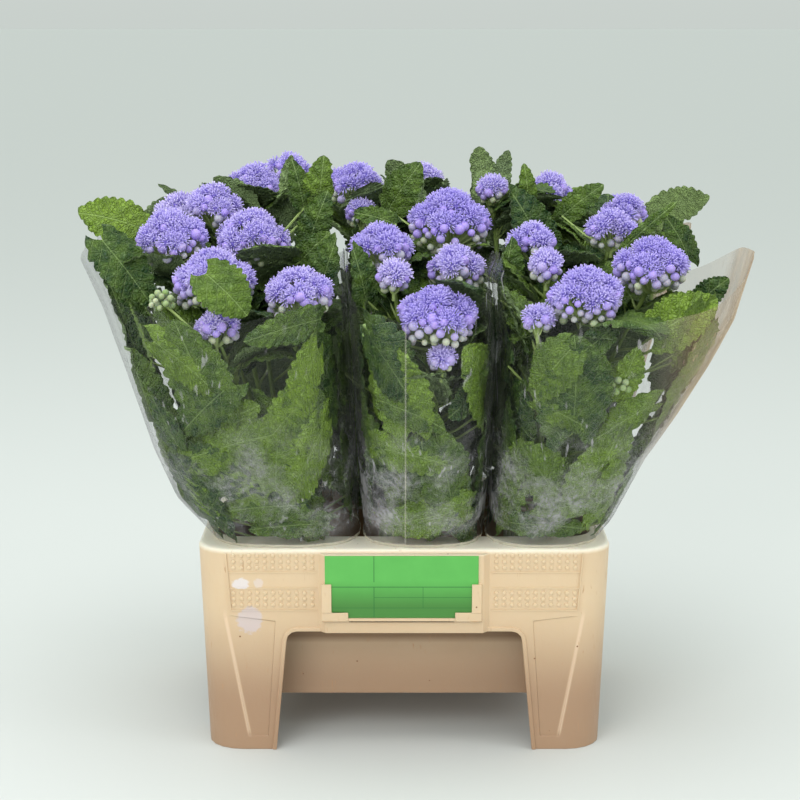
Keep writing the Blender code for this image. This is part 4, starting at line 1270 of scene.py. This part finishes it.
def add_pedicel(pile, start, place):
    middle = start + (place - start) * 0.5 + np.array((0.0, 0.0, -0.002))
    pile.add(*tube((start, middle, place), PEDICEL_RADII, 3), 2, tone=0.8)


def make_head(bunch, number, head, tuft, bud, finishes):
    """One corymb: open tufts packed in a cushion, closed buds round and under its edge, on their stalks."""
    name = "{}_{}".format(bunch[0], number)
    rng = random.Random(int(head[0] * 7000 + head[1] * 3000 + 900))
    pile = Pile(growth=3, tone=1)
    x, y, z, width = head
    root = np.array((x, y, head_base(head) - 0.010))
    own = rng.uniform(0.15, 0.75)
    lobes = head_lobes(head, rng)
    for place, direction, lift in lobe_spots(lobes, 0.0060, 1.0, -0.12, TUFT_PITCH, rng):
        if rng.random() > 0.62 + 1.2 * lift:
            continue
        tone = min(max(own + rng.uniform(-0.2, 0.2), 0.0), 1.0)
        add_bloom(pile, tuft, place, direction, rng.uniform(0.86, 1.12), tone, 0, rng.uniform(0, ANY_TURN))
        add_pedicel(pile, root, place - direction * TUFT_RADIUS)
    for place, direction, lift in lobe_spots(lobes, 0.0030, 0.30, -0.80, BUD_PITCH, rng):
        if rng.random() > (0.40 if lift > 0 else 0.85):
            continue
        below = place - (0, 0, max(0.0, -lift) * 0.16 * width)
        tone = max(0.0, min(1.0, 1.16 + 0.72 * lift + rng.uniform(-0.28, 0.10)))
        size = BUD_RADIUS * rng.uniform(0.70, 1.12) * (1.0 + 0.28 * min(lift, 0.0))
        add_bloom(pile, bud, below, direction, size, tone, 1)
        add_pedicel(pile, root, below - direction * size)
    pile.add(*tube((root - (0, 0, 0.006), root, (x, y, z)), (0.0020, 0.0019, 0.0012), 6), 2, tone=0.4)
    flower = pile.build("flower_head_" + name, finishes)
    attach(flower, "root")
    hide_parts("head_" + name)


# Film sleeves

def make_sleeve(bunch, number, finish):
    """An open tube of thin film, drawn in at its foot, with folds that fan out upwards and a waved rim."""
    rng = random.Random(SLEEVE_SEED + number)
    angle = 2 * math.pi * np.arange(FILM_COLUMNS) / FILM_COLUMNS
    top = RIM_DIP + (RIM_EAR - RIM_DIP) * np.cos(angle) ** 2
    for waves in RIM_WAVES:
        top = top - RIM_WAVE * (1 + np.sin(waves * angle + rng.uniform(0, ANY_TURN)))
    share = (np.arange(FILM_ROWS) / (FILM_ROWS - 1))[:, None]
    height = FILM_BASE + share * (top - FILM_BASE)[None, :]
    inset = np.zeros_like(height)
    for folds, depth, foot_only in FILM_FOLDS:
        phase = rng.uniform(0, ANY_TURN)
        drift = rng.uniform(-1.2, 1.2)
        crest = 1 - np.abs(np.sin(folds / 2 * angle[None, :] + phase + drift * share))
        fade = 1 - foot_only * np.minimum(share * 2.2, 1.0)
        patchy = 0.55 + 0.45 * np.sin(2 * angle[None, :] + phase * 2)
        inset = inset + depth * crest ** 2 * fade * patchy
    inset = inset + 0.0025 * np.exp(-((share - 0.06) / 0.05) ** 2) * (0.5 + 0.5 * np.sin(6 * angle + number))
    points = film_point(bunch, height, angle[None, :], inset)
    corners = points.reshape(-1, 3)
    triangles = []
    for row in range(FILM_ROWS - 1):
        for i in range(FILM_COLUMNS):
            j = (i + 1) % FILM_COLUMNS
            a, b = row * FILM_COLUMNS + i, row * FILM_COLUMNS + j
            triangles.extend(((a, b, b + FILM_COLUMNS), (a, b + FILM_COLUMNS, a + FILM_COLUMNS)))
    pile = Pile()
    pile.add(corners, np.array(triangles), 0)
    sleeve = pile.build("film_sleeve_" + bunch[0], [finish])
    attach(sleeve, "root")
    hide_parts("sleeve_" + bunch[0])


# Container

def merged_copy(node, name):
    """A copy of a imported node's mesh, merged, with its flat faces whole again."""
    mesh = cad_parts[node].data.copy()
    mesh.name = name
    mesh.materials.clear()
    copy = new_object(name, mesh)
    make_active(copy)
    bpy.ops.mesh.customdata_custom_splitnormals_clear()
    bpy.ops.object.mode_set(mode="EDIT")
    bpy.ops.mesh.select_all(action="SELECT")
    bpy.ops.mesh.remove_doubles(threshold=0.000002)
    bpy.ops.mesh.dissolve_limited(angle_limit=math.radians(1.0))
    bpy.ops.object.mode_set(mode="OBJECT")
    return copy


def wall_block(outline, near, far, side):
    """A block on the front (-1) or back (1) wall: an outline of (x, z) pushed from near to far out."""
    bm = bmesh.new()
    layers = []
    for out in (near, far):
        layers.append([bm.verts.new((x, side * (skirt_half(z)[1] + out), z)) for x, z in outline])
    bm.faces.new(layers[0])
    bm.faces.new(layers[1])
    for i in range(len(outline)):
        j = (i + 1) % len(outline)
        bm.faces.new((layers[0][i], layers[0][j], layers[1][j], layers[1][i]))
    bmesh.ops.recalc_face_normals(bm, faces=bm.faces)
    mesh = bpy.data.meshes.new("block")
    bm.to_mesh(mesh)
    bm.free()
    return new_object("block", mesh)


def joined(first, others):
    make_active(first)
    for other in others:
        other.select_set(True)
    bpy.ops.object.join()
    return first


def leg_panels():
    """Four shallow cutters for the legs' long faces, each from the slanted crease to the bead."""
    cutters = []
    for side, hand in FACE_HALVES:
        outline = [(hand * x, z) for x, z in (*LEG_CREASE, *LEG_INNER[::-1])]
        cutters.append(wall_block(outline, -LEG_DEPTH, CUTTER_PROUD, side))
    return joined(cutters[0], cutters[1:])


def dot_pattern():
    """One moulded dot, modelled once: a low round stud with a soft shoulder."""
    bpy.ops.object.select_all(action="DESELECT")
    bpy.ops.mesh.primitive_cone_add(vertices=10, radius1=DOT_RADIUS, radius2=DOT_RADIUS * 0.72,
                                    depth=DOT_PROUD * 1.4, location=(0, 0, DOT_PROUD * 0.1))
    dot = bpy.context.object
    place_in_mesh(dot)
    bpy.ops.object.mode_set(mode="EDIT")
    bpy.ops.mesh.select_all(action="DESELECT")
    bpy.ops.object.mode_set(mode="OBJECT")
    for face in dot.data.polygons:
        face.select = face.normal.z > 0.9
    bpy.ops.object.mode_set(mode="EDIT")
    bpy.ops.mesh.inset(thickness=DOT_RADIUS * 0.28, depth=DOT_PROUD * 0.25)
    bpy.ops.object.mode_set(mode="OBJECT")
    return pattern_of(dot)


def panel_edge(z):
    """How far out a dotted field reaches at a height."""
    return float(np.interp(z, PANEL_HEIGHTS, PANEL_OUTER))


def dotted_panels():
    """Two fields of dots on the front wall and two on the back."""
    corners, triangles = dot_pattern()
    pile = Pile()
    for side, hand in FACE_HALVES:
        turned = corners @ turned_to((0, side, 0)).T
        for z in DOT_ROWS:
            for column in range(DOT_COLUMNS):
                x = DOT_FIRST + DOT_PITCH * column
                if x <= panel_edge(z) - 0.002:
                    pile.add(turned + np.array((hand * x, side * skirt_half(z)[1], z)), triangles, 0)
    return pile.build("dots", [])


def panel_lines():
    """The thin raised lines that frame the dotted fields and the plain band between them."""
    half = LINE_WIDTH / 2
    lines = []
    for side, hand in FACE_HALVES:
        outlines = [((PANEL_INNER, z - half), (panel_edge(z), z - half), (panel_edge(z), z + half),
                     (PANEL_INNER, z + half)) for z in PANEL_LINES]
        foot, top = PANEL_OUTER
        outlines.append(((foot - half, PANEL_LINES[-1]), (foot + half, PANEL_LINES[-1]),
                         (top + half, PANEL_TOP), (top - half, PANEL_TOP)))
        for outline in outlines:
            lines.append(wall_block([(hand * x, z) for x, z in outline], -LINE_ROOT, LINE_PROUD, side))
    return joined(lines[0], lines[1:])


def make_container(finish):
    """The moulded container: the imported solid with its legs' panels sunk, its edges softened and its dots."""
    body = merged_copy("container", "moulded_container")
    cutter = leg_panels()
    apply_modifier(body, "BOOLEAN", operation="DIFFERENCE", solver="EXACT", object=cutter)
    bpy.data.objects.remove(cutter)
    apply_modifier(body, "BEVEL", width=EDGE_SOFT, segments=2, limit_method="ANGLE",
                   angle_limit=math.radians(28), use_clamp_overlap=False, harden_normals=False)
    joined(body, [dotted_panels(), panel_lines()])
    body.data.shade_smooth()
    body.data.set_sharp_from_angle(angle=math.radians(40))
    apply_modifier(body, "WEIGHTED_NORMAL", keep_sharp=True)
    body.data.materials.clear()
    body.data.materials.append(finish)
    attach(body, "root")
    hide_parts("container")


def make_card(finish):
    card = merged_copy("card", "green_card")
    apply_modifier(card, "BEVEL", width=CARD_EDGE, segments=2, limit_method="ANGLE",
                   angle_limit=math.radians(40))
    card.data.materials.append(finish)
    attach(card, "root")
    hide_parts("card")


def make_band(bunch, finish):
    """The elastic band round a bunch's tied stems, drawn as a single ring though the band is wound twice."""
    x, y = foot_of(bunch)
    bpy.ops.object.select_all(action="DESELECT")
    bpy.ops.mesh.primitive_torus_add(major_radius=FOOT_RADIUS + GAP + BAND_THICK, major_segments=40,
                                     minor_radius=BAND_THICK * 0.8, minor_segments=8,
                                     location=(x, y, BAND_HEIGHT))
    band = bpy.context.object
    band.name = "elastic_band_" + bunch[0]
    for vertex in band.data.vertices:
        angle = math.atan2(vertex.co.y, vertex.co.x)
        vertex.co.z += 0.0004 * math.sin(2 * angle)
    place_in_mesh(band)
    band.data.shade_smooth()
    band.data.materials.append(finish)
    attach(band, "root")
    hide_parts("band_" + bunch[0])


# Floor, light and camera

def make_floor():
    bpy.ops.object.select_all(action="DESELECT")
    bpy.ops.mesh.primitive_plane_add(size=FLOOR_SIDE)
    floor = bpy.context.object
    floor.name = "floor"
    finish, _, _ = start_finish("plain pale floor", Roughness=0.9, Base_Color="#cccecd")
    floor.data.materials.append(finish)


def make_lights():
    for name, place, aim, size, power in SOFTBOXES:
        lamp = bpy.data.lights.new(name, "AREA")
        lamp.shape = "SQUARE"
        lamp.size = size
        lamp.energy = power
        softbox = new_object(name, lamp)
        softbox.location = place
        softbox.rotation_euler = (Vector(aim) - Vector(place)).to_track_quat("-Z", "Y").to_euler()
    world = bpy.data.worlds.new("pale studio")
    world.use_nodes = True
    tree = world.node_tree
    # A room that grows lighter overhead, as light at its foot as the far floor, so no horizon shows.
    upward = add_node(tree, "SeparateXYZ", add_node(tree, "TexCoord").outputs["Generated"]).outputs["Z"]
    rise = add_node(tree, "MapRange", upward, 0.0, 1.0, ROOM_LIGHT, ROOM_LIGHT * ROOM_RISE)
    room = tree.nodes["Background"].inputs
    feed(tree, room["Color"], "#e3ebe6")
    feed(tree, room["Strength"], rise)
    bpy.context.scene.world = world


def make_camera():
    lens = bpy.data.cameras.new("camera")
    lens.lens = CAMERA_LENS
    lens.sensor_width = SENSOR_WIDTH
    camera = new_object("camera", lens)
    camera.location = CAMERA_PLACE
    camera.rotation_euler = (math.radians(CAMERA_PITCH), 0.0, 0.0)
    bpy.context.scene.camera = camera


make_container(moulded_polyethylene())
make_card(printed_card())
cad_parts["water"].data.materials.clear()
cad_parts["water"].data.materials.append(still_water())

film = sleeve_film()
rubber = latex_rubber()
stem = stem_skin()
bud_finish = bud_skin()
leaf_finishes = [leaf_skin(), stem, bud_finish]
head_finishes = [floret_threads(), bud_finish, stem]
blade = flat_blade()
bud = bud_pattern()
tuft = tuft_pattern()
for number, bunch in enumerate(BUNCHES):
    make_foliage(bunch, number, blade, bud, leaf_finishes)
    make_band(bunch, rubber)
    for k, head in enumerate(HEADS[bunch[0]]):
        make_head(bunch, k + 1, head, tuft, bud, head_finishes)
    make_sleeve(bunch, number, film)

make_floor()
make_lights()
make_camera()
bpy.context.scene.view_settings.view_transform = "Standard"
bpy.context.scene.cycles.transparent_max_bounces = 24
